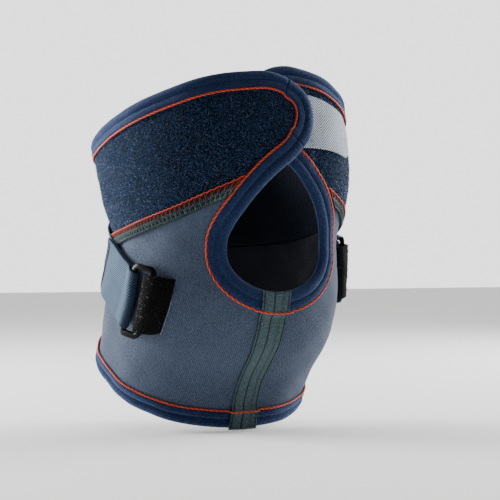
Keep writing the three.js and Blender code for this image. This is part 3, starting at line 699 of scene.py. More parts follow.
def herringbone(name, dark, light, band):
    """Slanted ribs that turn back every band of mm across. The third number paints shade on a fold."""
    cloth = Cloth(name, 0.75, 0.2, sheen=(0.1, 0.4, light))
    along, across, folded = cloth.place()
    slant = cloth.math("PINGPONG", across, band)
    ribs = cloth.wave(cloth.add(along, slant), 1.5)
    warp = cloth.wave(across, 0.8)
    grain = cloth.between(cloth.noise(0.5), 0.3, 0.7)
    height = cloth.add(ribs, cloth.times(cloth.add(warp, grain), 0.18))
    woven = cloth.mix(cloth.between(height, 0.3, 0.8), rgb(dark), rgb(light))
    # painted shade: the fold round a buckle's bar is mixed towards dark blue
    cloth.color(cloth.mix(folded, woven, rgb("#13293d")))
    cloth.bump(height, 0.28)
    return cloth.material


def black_plush():
    cloth = Cloth("black_plush", 0.95, 0.1, sheen=(0.05, 0.5, "#6d7478"))
    grain = cloth.between(cloth.noise(0.6), 0.35, 0.7)
    cloth.color(cloth.mix(grain, rgb("#020203"), rgb("#070809")))
    cloth.bump(grain, 0.25)
    return cloth.material


def black_pile():
    cloth = Cloth("black_pile", 0.9, 0.2, sheen=(0.2, 0.4, "#8b9699"))
    _, _, chance = cloth.place()
    # painted highlight: the pale tip colour shows mostly along the strap's fold, where chance is
    # raised
    cloth.color(cloth.mix(cloth.between(chance, 0.6, 1.3), rgb("#040505"), rgb("#8f9a94")))
    return cloth.material


def black_plastic():
    cloth = Cloth("black_plastic", 0.2, 0.05)
    cloth.color(cloth.mix(cloth.noise(3), rgb("#050706"), rgb("#0e1311")))
    cloth.bump(cloth.noise(0.8), 0.02)
    return cloth.material


SLATE = slate_knit()
PLUSH = navy_plush()
PILE = navy_pile()
BINDING = navy_binding()
ORANGE = twisted_cord()
ORANGE_FINE = plain_thread("orange_thread", "#6a1f12", "#a53c25")
SAGE_FINE = plain_thread("sage_thread", "#2c3d41", "#6a8184")
# painted highlight: a light thread colour for the lit edge of each buckle's slit
PAINTED_LIP_HIGHLIGHT = plain_thread("cut_edge_painted_highlight", "#5d677a", "#7d889c", 0.2)
DARK_FINE = plain_thread("dark_thread", "#080b0f", "#141c24", 0.05)
STEEL_FINE = plain_thread("steel_thread", "#182531", "#2a3c4d", 0.1)
TAPE = sage_tape()
BAND = seam_base()
TAB = herringbone("grey_herringbone", "#1d2833", "#cedae8", 12)
ELASTIC = herringbone("blue_herringbone", "#0a1520", "#4d6985", 14)
STRAP = black_plush()
STRAP_PILE = black_pile()
PLASTIC = black_plastic()


# Panels

def inset_places(edge, way):
    """The edge moved EDGE_INSET into the cloth: hole, side and all, and where its tip is."""
    whole = np.concatenate([edge["hole"], edge["end"][1:], edge["rim"][1:]])
    moved = whole + way * EDGE_INSET * inward_steps(whole)
    return moved, int(np.argmax(np.abs(moved[:, 0] + GIRTH / 2)))


def crossing(route, x):
    """Heights where a run of cloth places crosses each x, or nan."""
    found = np.full(len(x), np.nan)
    for (x0, z0), (x1, z1) in zip(route[:-1], route[1:]):
        if x0 != x1:
            met = np.isnan(found) & ((x - x0) * (x - x1) <= 0)
            found[met] = z0 + (z1 - z0) * (x[met] - x0) / (x1 - x0)
    return found


def upper_outline(x):
    """The plush panel's lower and upper edge at each x."""
    bottom, top = np.empty(len(x)), np.empty(len(x))
    for edge, way, mine in ((LEFT, 1, x > -GIRTH / 2), (RIGHT, -1, x <= -GIRTH / 2)):
        moved, tip = inset_places(edge, way)
        low = crossing(moved[len(edge["lower"]):tip + 1], x[mine])
        high = crossing(moved[tip:], x[mine])
        bottom[mine] = np.fmax(seam_height(x[mine]) + GAP, low)
        top[mine] = np.where(np.isnan(high), rim_height(x[mine]) - EDGE_INSET, high)
    return bottom, top


def cell_cloth(points, x, z):
    """Measures a sheet's places in mm round its middle row and up the leg."""
    along = lengths(points[:, points.shape[1] // 2])[:, None]
    return np.stack(np.broadcast_arrays(along, z, 0 * x), -1)


def upper_panel():
    right_tip = RIGHT["end"][:, 0].min() + EDGE_INSET + 0.05
    left_tip = LEFT["end"][:, 0].max() - EDGE_INSET - 0.05
    tips = 20 * (1 - np.cos(np.linspace(0.02, math.pi / 2, 16)))
    x = np.concatenate([
        right_tip + tips, spaced(right_tip + 20, left_tip - 20, 1.6)[1:-1], (left_tip - tips)[::-1],
    ])
    bottom, top = upper_outline(x)
    share = np.linspace(0, 1, 52)
    z = lerp(bottom[:, None], top[:, None], share)
    x = np.broadcast_to(x[:, None], z.shape)
    outer, inner = at(x, z), at(x, z, -WALL)
    kept = np.ones((z.shape[0] - 1, z.shape[1] - 1), bool)
    cloth = cell_cloth(outer, x, z)
    return add_sheet(
        "plush_panel", outer, inner, kept, cloth, PLUSH, ["upper_panel"]
    )


def tufts(name, root, normal, side, length, spread, chance, material):
    """Short leaning tufts, each a closed three-sided spike rooted in the cloth."""
    count = len(root)
    normal = normal / np.linalg.norm(normal, axis=-1, keepdims=True)
    first = np.cross(normal, side)
    first /= np.linalg.norm(first, axis=-1, keepdims=True)
    second = np.cross(normal, first)
    lean = random.normal(0, spread, (2, count, 1))
    tall = length * random.uniform(0.5, 1.1, (count, 1))
    wide = random.uniform(0.14, 0.28, (count, 1))
    turn = random.uniform(0, 2 * math.pi, (count, 1))
    base = [
        root + wide * (np.cos(turn + k * 2.094) * first + np.sin(turn + k * 2.094) * second)
        for k in range(3)
    ]
    tip = root + tall * (normal + lean[0] * first + lean[1] * second)
    points = np.stack([*base, tip], 1)
    cloth = np.zeros(points.shape)
    cloth[..., 2] = chance[:, None]
    start = np.arange(count)[:, None] * 4
    faces = [start + np.array(corner) for corner in ([0, 2, 1], [0, 1, 3], [1, 2, 3], [2, 0, 3])]
    add_piece(name, points, faces, cloth, material, [])


PILE_PER_MM2 = 2.4
PILE_BELOW_RIM = 1
PILE_ABOVE_SEAM = 2.5


def upper_pile():
    count = int(GIRTH * RISE * PILE_PER_MM2)
    x = random.uniform(RIGHT["end"][:, 0].min(), LEFT["end"][:, 0].max(), count)
    z = random.uniform(0, RISE + RIGHT_FLAP_RISE, count)
    bottom, top = upper_outline(x)
    inside = (z > bottom + PILE_ABOVE_SEAM) & (z < top - PILE_BELOW_RIM)
    x, z = x[inside], z[inside]
    _, rise, out = slopes_at(x, z, at)
    chance = random.random(len(x))
    tufts("plush_pile", at(x, z, -0.15), out, rise, 0.7, 0.5, chance, PILE)


def in_hole(x, z):
    """True inside the teardrop hole of the lower panel, seen from the left flap's side."""
    x = np.where(x < -GIRTH / 2, x + GIRTH, x) - HOLE_SHIFT
    moved, tip = inset_places(LEFT, 1)
    side = moved[len(LEFT["lower"]):tip]
    height = np.interp(-np.abs(x), side[:, 0] - HOLE_SHIFT, side[:, 1])
    half = HALF_HOLE + EDGE_INSET
    low = HOLE_LEVEL - (HOLE_BELOW + EDGE_INSET) * np.sqrt(np.clip(1 - (x / half) ** 2, 0, 1))
    return (np.abs(x) < half) & (z > low) & (z < height)


def lower_panel():
    x = spaced(-GIRTH + GAP, -GAP, 1.3)
    share = np.linspace(0, 1, 100)
    z = lerp(hem_height(x)[:, None] + EDGE_INSET, seam_height(x)[:, None] - GAP, share)
    x = np.broadcast_to(x[:, None], z.shape).copy()
    slits = np.zeros(x.shape, bool)
    for buckle in BUCKLES:
        x, near = buckle.align(x, z)
        slits |= near
    middle_x = (x[1:, 1:] + x[:-1, :-1]) / 2
    middle_z = (z[1:, 1:] + z[:-1, :-1]) / 2
    slit = slits[1:, 1:] & slits[:-1, :-1] & slits[1:, :-1] & slits[:-1, 1:]
    kept = ~in_hole(middle_x, middle_z) & ~slit
    outer, inner = at(x, z), at(x, z, -WALL)
    cloth = cell_cloth(outer, x, z)
    return add_sheet(
        "smooth_panel", outer, inner, kept, cloth, SLATE, ["lower_panel"]
    )


# Bindings and piping

def binding_section(width):
    """A rolled edge, pinched thinner than the wall, a stitched groove and a flat inner band."""
    roll = 0.52 * width
    inside = width * INNER_BINDING_SHARE
    section = [
        (width, BINDING_GAP - 0.35), (width + 0.05, 0.9), (width - 0.3, TRIM_TOP),
        (width - 1.2, TRIM_TOP + 0.2), (roll + 1.2, TRIM_TOP + 0.12), (roll + 0.6, TRIM_TOP - 0.1),
        (roll + 0.2, 0.8), (roll - 0.2, 0.82), (roll - 0.65, TRIM_TOP + 0.05),
        (roll - 1.5, TRIM_TOP + 0.4), (0.45 * roll, TRIM_TOP + 0.45), (0.15 * roll, TRIM_TOP + 0.15),
        (-0.35, 0.85), (-0.95, 0.3), (-1.25, -0.4), (-1.2, -1.1), (-0.8, -1.7), (-0.1, -2.2),
        (0.8, -2.8), (2.2, -3.7), (3.6, -WALL - TRIM_TOP), (inside - 0.4, -WALL - TRIM_TOP),
        (inside, -WALL - BINDING_GAP), (EDGE_INSET - 0.6, -WALL - BINDING_GAP),
        (EDGE_INSET - 0.8, -WALL / 2), (EDGE_INSET - 0.6, BINDING_GAP - 0.35),
    ]
    return np.array(section).T


def swept(route, across, off, looped=False):
    steps = inward_steps(route, looped)
    return at(
        route[:, :1] + across * steps[:, :1], route[:, 1:] + across * steps[:, 1:], off
    )


BINDING_STEP = 1.2


def drawn_in(before, route, after):
    """An even route with its ends drawn in by GAP and one spare place before and after it."""
    route = even(route, BINDING_STEP)
    share = GAP / BINDING_STEP
    route[0], route[-1] = lerp(route[0], route[1], share), lerp(route[-1], route[-2], share)
    return np.concatenate([before[-2:-1], route, after[1:2]])


def binding(name, route, width, looped=False):
    across, off = binding_section(width)
    points = swept(route, across, off, looped)
    if not looped:
        points = points[1:-1]
    add_tube(name + "_cloth", points, BINDING, [name], looped=looped)


def bindings():
    left, right = LEFT, RIGHT
    back_right = {key: route[::-1] for key, route in right.items()}
    binding("binding_flap_left", drawn_in(left["hole"], left["end"], left["rim"]), FLAP_BINDING)
    binding("binding_rim", drawn_in(left["end"], RIM_ROUTE, back_right["end"]), RIM_BINDING)
    binding(
        "binding_flap_right",
        drawn_in(back_right["rim"], back_right["end"], back_right["hole"]), FLAP_BINDING,
    )
    binding("binding_hole", drawn_in(back_right["end"], HOLE_ROUTE, left["end"]), HOLE_BINDING)
    binding("binding_hem", even(hem_route(-GIRTH, 0), BINDING_STEP)[:-1], RIM_BINDING, looped=True)


CORD_STEP = 0.4
CORD_PITCH = 2.6
CORD_SIDES = 10


def cord_piece(name, route, width, node, looped=False):
    """A two-strand cord along the inner edge of a binding, which climbs over the front tape."""
    route = even(route, CORD_STEP)
    if looped:
        route = route[:-1]
    width = width(route) if callable(width) else np.full(len(route), width)
    angle = np.arange(CORD_SIDES) / CORD_SIDES * 2 * math.pi
    twist = (np.arange(len(route)) * CORD_STEP / CORD_PITCH * math.pi)[:, None]
    strands = np.cos(2 * (angle - twist))
    radius = PIPING / 2 * (1 + 0.2 * strands)
    x = np.where(route[:, 0] < -GIRTH / 2, route[:, 0] + GIRTH, route[:, 0])
    over = ease((TAPE_WIDTH / 2 + 1.6 - np.abs(x)) / 1.4) * (route[:, 1] < HOLE_LEVEL)
    on_tape = TAPE_GAP + TRIM_TOP * 0.92 + TAPE_SKIN + 0.45 * PIPING
    lift = lerp(BINDING_GAP + PIPING / 2, on_tape, over)
    across = (width + GAP + PIPING / 2)[:, None] + radius * np.cos(angle)
    off = lift[:, None] + radius * np.sin(angle)
    points = swept(route, across, off, looped)
    cloth = tube_cloth(points)
    # painted shade: larger in the valleys between strands, where the cord is coloured darker
    cloth[..., 2] = 0.5 - 0.5 * strands
    add_tube(name, points, ORANGE, [node], looped=looped, cloth=cloth)


def upper_width(route):
    """The piping steps out and in with the bindings' widths, within 5 mm at each join."""
    run = lengths(at(*route.T))
    ends = [lengths(at(*edge[key].T))[-1] for edge in (LEFT, RIGHT) for key in ("hole", "end")]
    joins = [ends[0], ends[0] + ends[1], run[-1] - ends[2] - ends[3], run[-1] - ends[2]]
    widths = [HOLE_BINDING, FLAP_BINDING, RIM_BINDING, FLAP_BINDING, HOLE_BINDING]
    return widths[0] + sum(np.diff(widths)[:, None] * ease((run - np.c_[joins]) / 5 + 0.5))


def piping():
    cord_piece("orange_cord_upper", UPPER_ROUTE, upper_width, "piping_upper")
    cord_piece("orange_cord_hem", hem_route(-GIRTH, 0), RIM_BINDING, "piping_hem", looped=True)


# Flat bands: seam, tape, tab

def flat_section(width, skin, columns, relief=None):
    """Across and off of a flat band with rounded edges, off from its inner face."""
    bend = skin / 2
    top = np.linspace(-width / 2 + bend, width / 2 - bend, columns)
    turn = np.linspace(-math.pi / 3, math.pi / 3, 3)
    side = width / 2 - bend + bend * np.cos(turn)
    raised = 0 * top if relief is None else relief(top)
    across = np.concatenate([top, side, top[::-1], -side])
    edge = bend * np.sin(turn)
    off = np.concatenate([skin + raised, bend - edge, 0 * top, bend + edge])
    return across, off


def seam_ends():
    """Where the seam band's lower and upper edge meet the hole's piping, left and right."""
    clear = HOLE_BINDING + PIPING + 3 * GAP
    ends = []
    for edge, way in ((LEFT, 1), (RIGHT, -1)):
        route = edge["hole"]
        limit = route + way * clear * inward_steps(route)
        limit = limit[limit[:, 1] > HOLE_LEVEL]
        ends.append([
            np.interp(0, limit[:, 1] - seam_height(limit[:, 0]) - share * SEAM_WIDTH, limit[:, 0])
            for share in (-0.5, 0.5)
        ])
    return ends


def seam_place(x, share, ends):
    (left_low, left_high), (right_low, right_high) = ends
    start, end = (right_low + right_high) / 2, (left_low + left_high) / 2
    shift = (
        (left_high - left_low) * ease(1 - (end - x) / 15)
        + (right_high - right_low) * ease(1 - (x - start) / 15)
    )
    round_ = x + (share - 0.5) * shift
    return round_, seam_height(round_) + (share - 0.5) * SEAM_WIDTH


def stitches(name, x, shares, ends, radius, material, lean=1.1):
    """One thread over the seam band for each x, arched between two shares of its width."""
    steps = np.linspace(0, 1, 6)
    up = lerp(*shares, steps)
    place = seam_place(x[:, None] + steps * lean, up[None, :], ends)
    centres = at(*place, SEAM_GAP + SEAM_SKIN - 0.1 + 0.32 * np.sin(steps * math.pi) ** 0.5)
    outs = slopes_at(*place, at)[2]
    add_threads(name, centres, outs, radius, material)


def seam_line(name, ends, share, swing, radius, material):
    """A zigzag thread along the band."""
    x = spaced(np.mean(ends[1]), np.mean(ends[0]), STITCH_PITCH / 8)
    turn = x / STITCH_PITCH * 2 * math.pi
    place = seam_place(x, share + swing * np.sin(turn), ends)
    centres = at(*place, SEAM_GAP + SEAM_SKIN + 0.05 + 0.1 * np.cos(2 * turn))[None]
    add_threads(name, centres, slopes_at(*place, at)[2][None], radius, material)


STITCH_PITCH = 2.4


def seam():
    ends = seam_ends()
    end, start = np.mean(ends, axis=1)
    x = spaced(start, end, 1.5)
    across, off = flat_section(SEAM_WIDTH, SEAM_SKIN, 9)
    share = across / SEAM_WIDTH + 0.5
    place = seam_place(x[:, None], share[None, :], ends)
    points = at(*place, SEAM_GAP + off)
    cloth = tube_cloth(points)
    cloth[..., 2] = share
    add_tube("seam_base", points, BAND, ["seam_band"], cloth=cloth)

    x = spaced(start + 1.4, end - 1.6, STITCH_PITCH)
    fine = spaced(start + 1.4, end - 1.6, STITCH_PITCH / 2.5)
    stitches("seam_orange_bars", x, (0.95, 0.55), ends, 0.16, ORANGE_FINE, 0.55)
    stitches("seam_orange_legs", x + 1.1, (0.95, 0.6), ends, 0.12, ORANGE_FINE, -0.5)
    stitches("seam_sage_bars", fine, (0.62, 0.4), ends, 0.2, SAGE_FINE, 0.7)
    stitches("seam_sage_ties", x + 0.6, (0.42, 0.2), ends, 0.26, SAGE_FINE, 0.3)
    stitches("seam_sage_ends", fine, (0.25, 0.06), ends, 0.2, SAGE_FINE, 0.5)
    stitches("seam_holes", x + 1.8, (0.38, 0.26), ends, 0.42, DARK_FINE, 0.25)
    seam_line("seam_orange_looper", ends, 0.97, 0.035, 0.24, ORANGE)
    seam_line("seam_dark_looper", ends, 0.035, 0.06, 0.17, DARK_FINE)


TAPE_GROOVES = [(-1.2, 0.3), (3.4, 0.45)]  # columns: mm right of the tape's middle, depth
TAPE_SEWN = 1.1  # the edge stitches lie this far in


def tape_relief(across):
    raised = 0 * across
    for middle, depth in TAPE_GROOVES:
        raised = raised - depth * np.exp(-(((across - middle) / 0.55) ** 2))
    for side in (-1, 1):
        raised = raised - 0.22 * np.exp(-(((across - side * (TAPE_WIDTH / 2 - TAPE_SEWN)) / 0.4) ** 2))
    return raised


def tape_ends(x):
    out = (x - HOLE_SHIFT) / HALF_HOLE
    top = HOLE_LEVEL - HOLE_BELOW * np.sqrt(1 - out * out) + TRIM_TOP
    return hem_height(x) - TRIM_TOP, top


def tape_base(z, bottom, top):
    over = np.minimum(z - bottom - RIM_BINDING, top - z - HOLE_BINDING) - TRIM_TOP - GAP
    return TAPE_GAP + (TRIM_TOP + 0.35) * (1 - ease(over / TAPE_STEP))


def front_tape():
    across, off = flat_section(TAPE_WIDTH, TAPE_SKIN, 44, tape_relief)
    bottom, top = tape_ends(across)
    share = np.linspace(0, 1, 90)[:, None]
    z = lerp(bottom, top, share)
    points = at(across - GIRTH, z, tape_base(z, bottom, top) + off)
    cloth = tube_cloth(points)
    cloth[..., 1] = across
    # painted shade: groove depth on the top face, where the tape is coloured darker
    cloth[..., 2] = -tape_relief(across) * (off > TAPE_SKIN / 2)
    add_tube("tape_cloth", points, TAPE, ["front_tape"], cloth=cloth)

    starts = np.arange(0.02, 0.975, 0.026)
    for side, label in ((-1, "left"), (1, "right")):
        x = np.full((len(starts), 5), side * (TAPE_WIDTH / 2 - TAPE_SEWN))
        low, high = tape_ends(x)
        z = lerp(low, high, starts[:, None] + np.linspace(0, 0.017, 5))
        rise = 0.2 * np.sin(np.linspace(0, math.pi, 5)) - 0.08
        off = tape_base(z, low, high) + TAPE_SKIN + rise
        centres = at(x - GIRTH, z, off)
        outs = slopes_at(x - GIRTH, z, at)[2]
        add_threads(f"tape_stitches_{label}", centres, outs, 0.24, DARK_FINE)


def closure_tab():
    start = TAB_START - GIRTH
    end = start + TAB_LENGTH
    corner = end - TAB_CORNER * (1 - np.sin(np.linspace(0, math.pi / 2, 10)))
    x = np.concatenate([spaced(start, end - TAB_CORNER, 0.8)[:-1], corner])
    past = np.maximum(0, x - end + TAB_CORNER)
    height = TAB_HEIGHT - 2 * (TAB_CORNER - np.sqrt(TAB_CORNER**2 - past**2))
    across, off = flat_section(TAB_HEIGHT, TAB_SKIN, 40)
    z = rim_height(x)[:, None] - TAB_BELOW_RIM + across * (height / TAB_HEIGHT)[:, None]
    low = (TAB_HEIGHT / 2 - across) / TAB_HEIGHT
    z = z + TAB_TAPER * low * ((x - start) / TAB_LENGTH)[:, None]
    points = at(x[:, None], z, GAP + off)
    cloth = np.stack(np.broadcast_arrays(z, x[:, None] - start, 0 * z), -1)
    add_tube("tab_cloth", points, TAB, ["closure_tab"], cloth=cloth)


# Buckles and straps

def buckle_ring(buckle):
    half = ((BUCKLE_WIDTH - BUCKLE_BAR) / 2, (BUCKLE_LENGTH - BUCKLE_BAR) / 2)
    radius = BUCKLE_CORNER - BUCKLE_BAR / 2
    centre = []
    for corner, (sx, sy) in enumerate([(1, 1), (-1, 1), (-1, -1), (1, -1)]):
        for angle in (corner + np.linspace(0, 1, 9)) * math.pi / 2:
            centre.append((
                sx * (half[0] - radius) + radius * math.cos(angle),
                sy * (half[1] - radius) + radius * math.sin(angle),
            ))
        if sx * sy < 0:
            x, y = centre[-1]
            centre += [(x, y * share) for share in np.linspace(0.9, -0.9, 15)]
        else:
            x, y = centre[-1]
            centre += [(x * share, y) for share in (0.5, 0, -0.5)]
    centre = np.array(centre)
    ahead = np.roll(centre, -1, 0) - np.roll(centre, 1, 0)
    normal = np.stack([ahead[:, 1], -ahead[:, 0]], -1) / np.linalg.norm(ahead, axis=1)[:, None]
    angle = np.arange(20) / 20 * 2 * math.pi
    wide = np.sign(np.cos(angle)) * np.abs(np.cos(angle)) ** 0.6 * BUCKLE_BAR / 2
    high = np.sign(np.sin(angle)) * np.abs(np.sin(angle)) ** 0.6 * BUCKLE_THICKNESS / 2
    along = centre[:, :1] + normal[:, :1] * wide
    up = centre[:, 1:] + normal[:, 1:] * wide
    points = at(*buckle.place(along, up), BAR_OFF + high)
    name = f"buckle_{buckle.name}"
    add_tube(f"{name}_ring", points, PLASTIC, [name], looped=True)


def strap_points(run, skin, line, columns, edge=None):
    """A strap folded along a run of along and off, with its section's rounded edges."""
    step = np.gradient(run, axis=0)
    step /= np.linalg.norm(step, axis=1, keepdims=True)
    across, off = flat_section(STRAP_WIDTH, skin, columns, edge)
    off = off - skin / 2
    along = run[:, :1] - step[:, 1:] * off
    height = run[:, 1:] + step[:, :1] * off
    x, z = line(along, across[None, :] + 0 * along)
    return at(x, z, height), across


def turn_round(along, way, skin):
    reach = STRAP_CLEARANCE + skin / 2
    angle = np.linspace(0, math.pi, 22)
    return np.stack([
        along + way * (BUCKLE_BAR / 2 + reach) * np.sin(angle),
        BAR_OFF + (BUCKLE_THICKNESS / 2 + reach) * np.cos(angle),
    ], -1)


def even_run(run, step):
    run = np.asarray(run, float)
    length = lengths(run)
    wanted = spaced(0, length[-1], step)
    return np.stack([np.interp(wanted, length, run[:, k]) for k in (0, 1)], -1)


def softened(run, times):
    """Rounds a run's corners by averaging each place with its neighbours."""
    for _ in range(times):
        run[1:-1] = (run[:-2] + 2 * run[1:-1] + run[2:]) / 4
    return run


def loop_run():
    over = BAR_OFF + BUCKLE_THICKNESS / 2 + STRAP_CLEARANCE + LOOP_SKIN / 2
    under = 2 * BAR_OFF - over
    run = [
        (SLIT_AT, GAP - WALL), (SLIT_AT, -0.2 * WALL),
        (SLIT_AT - 0.1 * LOOP_SKIN, 0.2 * LOOP_SKIN), (SLIT_AT - 0.7 * LOOP_SKIN, 0.3 * over),
        (SLIT_AT - 0.2 * LOOP_LENGTH, 0.52 * over), (SLIT_AT - 0.5 * LOOP_LENGTH, 0.8 * over),
        (SLIT_AT - 0.8 * LOOP_LENGTH, 0.97 * over),
        *(turn_round(BAR_AT, -1, LOOP_SKIN) - [LOOP_FULLNESS, 0]),
        (BAR_AT + LOOP_RETURN / 2, under), (BAR_AT + LOOP_RETURN, under),
    ]
    return softened(even_run(run, 0.5), 3)


def loop_strap(buckle):
    run = loop_run()
    points, _ = strap_points(run, LOOP_SKIN, buckle.place, 30)
    name = f"loop_strap_{buckle.name}"
    add_tube(f"{name}_cloth", points, STRAP, [name])

    loop_pile(buckle, name, run)
    slit_lip(buckle)


LOOP_TUFTS = 5200


def loop_pile(buckle, name, run):
    """Tufts on the strap's outer face, three times as thick along its fold and paler there, a painted
    highlight.
    """
    count = LOOP_TUFTS
    step = np.gradient(run, axis=0)
    step /= np.linalg.norm(step, axis=1, keepdims=True)
    fold = np.clip(0.5 + (BAR_AT + 1.5 - run[:, 0]) / 4, 0, 1) * (run[:, 1] > BAR_OFF - 1.5)
    odds = 1 + 3 * fold
    odds[:6] = odds[-2:] = 0
    pick = random.choice(len(run), count, p=odds / odds.sum())
    face = random.choice([-1, 1], count, p=[0.1, 0.9])
    shift = face * (LOOP_SKIN / 2 - 0.1)
    up = random.uniform(-0.5, 0.5, count) * (STRAP_WIDTH - 0.3)
    along = run[pick, 0] - step[pick, 1] * shift
    off = run[pick, 1] + step[pick, 0] * shift
    x, z = buckle.place(along, up)
    root = at(x, z, off)
    _, rise, out = slopes_at(x, z, at)
    normal = face[:, None] * (-step[pick, 1:] * buckle_way(buckle, x, z) + step[pick, :1] * out)
    # painted highlight: chance is raised along the fold, which makes those tufts paler
    chance = random.random(count) * (0.85 + 0.55 * fold[pick])
    tufts(f"{name}_pile", root, normal, rise, 0.85, 0.7, chance, STRAP_PILE)


def slit_lip(buckle):
    tall = np.linspace(-1, 0.25, 30) * (STRAP_WIDTH / 2 + STRAP_CLEARANCE)
    x, z = buckle.place(SLIT_AT + LOOP_SKIN / 2 + STRAP_CLEARANCE + 0.25, tall)
    centres, outs = at(x, z, 0.05)[None], slopes_at(x, z, at)[2][None]
    # the lip thread is coloured light as a painted highlight of the slit's lit edge
    add_threads(f"slit_lip_{buckle.name}", centres, outs, 0.24, PAINTED_LIP_HIGHLIGHT)


def buckle_way(buckle, x, z):
    """Unit vector along the buckle's own axis at each place."""
    ahead = [np.array(v) for v in buckle.place(np.array([0.0, 1.0]), np.zeros(2))]
    dx, dz = ahead[0][1] - ahead[0][0], ahead[1][1] - ahead[1][0]
    way = at(x + dx, z + dz) - at(x, z)
    return way / np.linalg.norm(way, axis=-1, keepdims=True)


def elastic_line(x, up):
    left = x > -GIRTH / 2
    way = np.where(left, 1, -1)
    bx = np.where(left, BUCKLES[0].place(-BAR_AT, 0)[0], BUCKLES[1].place(-BAR_AT, 0)[0])
    rise = (elastic_middle(x - way * PROBE) - elastic_middle(x + way * PROBE)) / (2 * PROBE)
    lean = lerp(BUCKLE_TILT, np.arctan(rise), ease(way * (bx - x) / HEADING_BLEND))
    return x + way * up * np.sin(lean), elastic_middle(x) + up * np.cos(lean)


def elastic_run():
    left_bar = BUCKLES[0].place(-BAR_AT, 0)[0]
    right_bar = BUCKLES[1].place(-BAR_AT, 0)[0]
    high = 2 * BAR_OFF - ELASTIC_OFF
    rest = ELASTIC_OFF + ELASTIC_SKIN + GAP

    def returned(bar, way):
        share = np.linspace(1, 0.03, 40)
        down = ease(share * ELASTIC_RETURN / ELASTIC_REST)
        return np.stack([bar - way * share * ELASTIC_RETURN, lerp(high, rest, down)], -1)

    middle = spaced(left_bar, right_bar, 4)[1:-1]
    return np.concatenate([
        returned(left_bar, 1), turn_round(left_bar, 1, ELASTIC_SKIN),
        np.stack([middle, np.full(len(middle), ELASTIC_OFF)], -1),
        turn_round(right_bar, -1, ELASTIC_SKIN)[::-1], returned(right_bar, -1)[::-1],
    ])


def elastic_edge(across):
    """The strap's selvages stand a little proud."""
    side = np.abs(across) - STRAP_WIDTH / 2 + 1.4
    return 0.12 * np.exp(-((side / 0.6) ** 2))


def elastic_strap():
    run = even_run(elastic_run(), 1.0)
    points, across = strap_points(run, ELASTIC_SKIN, elastic_line, 34, elastic_edge)
    cloth = tube_cloth(points)
    cloth[..., 1] = across + STRAP_WIDTH / 2
    bars = np.array([buckle.place(-BAR_AT, 0)[0] for buckle in BUCKLES])
    turned = np.where(run[:, 0] > -GIRTH / 2, run[:, 0] - bars[0], bars[1] - run[:, 0])
    # painted shade: 1 over the strap's turn round each buckle's bar, where it is coloured darker
    cloth[..., 2] = ease((turned + 1.2) / 1.2)[:, None]
    add_tube("elastic_cloth", points, ELASTIC, ["elastic_strap"], cloth=cloth)

    for buckle in BUCKLES:
        elastic_zigzag(buckle)


def elastic_zigzag(buckle):
    """Two zigzag seams that hold the strap's turned end to its back."""
    way = -buckle.way
    end = buckle.place(-BAR_AT, 0)[0] - way * ELASTIC_RETURN
    up = np.linspace(-0.47, 0.47, 56) * STRAP_WIDTH
    rows = []
    for inset in (1.8, 4.6):
        zig = inset + 0.8 * np.where(np.arange(56) % 2, 1, -1)
        x, z = elastic_line(end + way * zig, up)
        rows.append(at(x, z, ELASTIC_OFF + 1.5 * ELASTIC_SKIN + GAP + 0.08))
    outs = np.stack([slopes_at(x, z, at)[2]] * 2)
    name = f"elastic_zigzag_{buckle.name}"
    add_threads(name, np.stack(rows), outs, 0.26, STEEL_FINE)


# Build

lower = lower_panel()
upper = upper_panel()
upper_pile()
bindings()
piping()
seam()
front_tape()
closure_tab()
elastic_strap()
for buckle in BUCKLES:
    buckle_ring(buckle)
    loop_strap(buckle)


x = spaced(RIGHT["end"][:, 0].min(), LEFT["end"][:, 0].max(), 1)
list(upper_outline(x))
x = spaced(-GIRTH, 0, 1)


# Floor, light and camera

FLOOR = cad_box[0].z
CAMERA_TURN = math.radians(-28)
CAMERA_DISTANCE = 1.0
CAMERA_ASIDE = 0.01595  # the brace stands this far left of the picture's middle
CAMERA_LENS = 130.9
FLOOR_GLOW = 0.06  # takes the floor nearer to the backdrop's brightness
FRONT_GLOW = 0.08  # the studio's brightness on the camera's side
BACK_GLOW = 2.2  # and behind the brace


def stage():
    cloth = Cloth("floor", 0.9, 0.1)
    cloth.set("Base Color", rgb("#fbfaf9"))
    cloth.set("Emission Color", rgb("#ffffff"))
    cloth.set("Emission Strength", FLOOR_GLOW)
    half, under = 3.0, FLOOR - 0.0005
    mesh = bpy.data.meshes.new("floor")
    corners = [(-half, -half, under), (half, -half, under), (half, half, under), (-half, half, under)]
    mesh.from_pydata(corners, [], [(0, 1, 2, 3)])
    mesh.materials.append(cloth.material)
    floor = bpy.data.objects.new("floor", mesh)
    bpy.context.scene.collection.objects.link(floor)


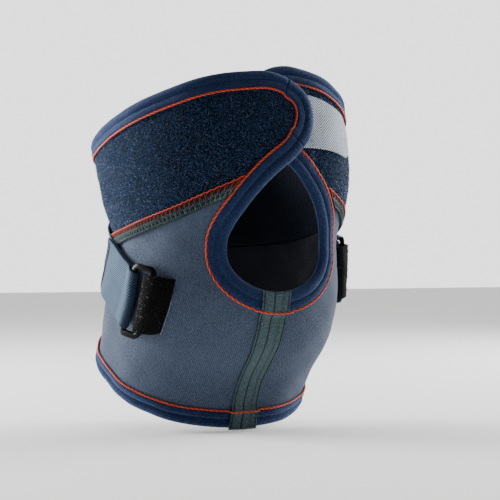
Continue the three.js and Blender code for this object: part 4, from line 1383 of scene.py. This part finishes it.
def area_light(name, turn, rise, distance, size, energy):
    """turn and rise are degrees round the brace and up from the floor, turn 0 being the front."""
    turn, rise = math.radians(turn), math.radians(rise)
    way = Vector((math.sin(turn) * math.cos(rise), -math.cos(turn) * math.cos(rise), math.sin(rise)))
    light = bpy.data.lights.new(name, "AREA")
    light.shape = "DISK"
    light.size = size
    light.energy = energy
    lamp = bpy.data.objects.new(name, light)
    bpy.context.scene.collection.objects.link(lamp)
    lamp.location = way * distance
    lamp.rotation_euler = (-way).to_track_quat("-Z", "Y").to_euler()


def lighting():
    world = bpy.data.worlds.new("studio")
    world.use_nodes = True
    tree = world.node_tree
    background = tree.nodes["Background"]
    way = tree.nodes.new("ShaderNodeTexCoord")
    depth = tree.nodes.new("ShaderNodeVectorMath")
    depth.operation = "DOT_PRODUCT"
    depth.inputs[1].default_value = (-math.sin(CAMERA_TURN), math.cos(CAMERA_TURN), 0)
    strength = tree.nodes.new("ShaderNodeMapRange")
    strength.interpolation_type = "SMOOTHSTEP"
    limits = {"From Min": -0.5, "From Max": 1, "To Min": FRONT_GLOW, "To Max": BACK_GLOW}
    for key, value in limits.items():
        strength.inputs[key].default_value = value
    tree.links.new(way.outputs["Generated"], depth.inputs[0])
    tree.links.new(depth.outputs["Value"], strength.inputs["Value"])
    tree.links.new(strength.outputs["Result"], background.inputs["Strength"])
    background.inputs["Color"].default_value = (1, 1, 1, 1)
    bpy.context.scene.world = world
    area_light("key", -40, 50, 1.2, 0.7, 0.7)
    area_light("left_rim", -138, 12, 1.0, 0.6, 24)
    area_light("right_rim", 100, 15, 1.1, 0.6, 18)


def camera():
    right = Vector((math.cos(CAMERA_TURN), math.sin(CAMERA_TURN), 0))
    back = Vector((math.sin(CAMERA_TURN), -math.cos(CAMERA_TURN), 0))
    lens = bpy.data.cameras.new("camera")
    lens.lens = CAMERA_LENS
    lens.sensor_width = 36
    made = bpy.data.objects.new("camera", lens)
    bpy.context.scene.collection.objects.link(made)
    made.location = right * CAMERA_ASIDE + back * CAMERA_DISTANCE
    made.rotation_euler = (-back).to_track_quat("-Z", "Y").to_euler()
    bpy.context.scene.camera = made


stage()
lighting()
camera()
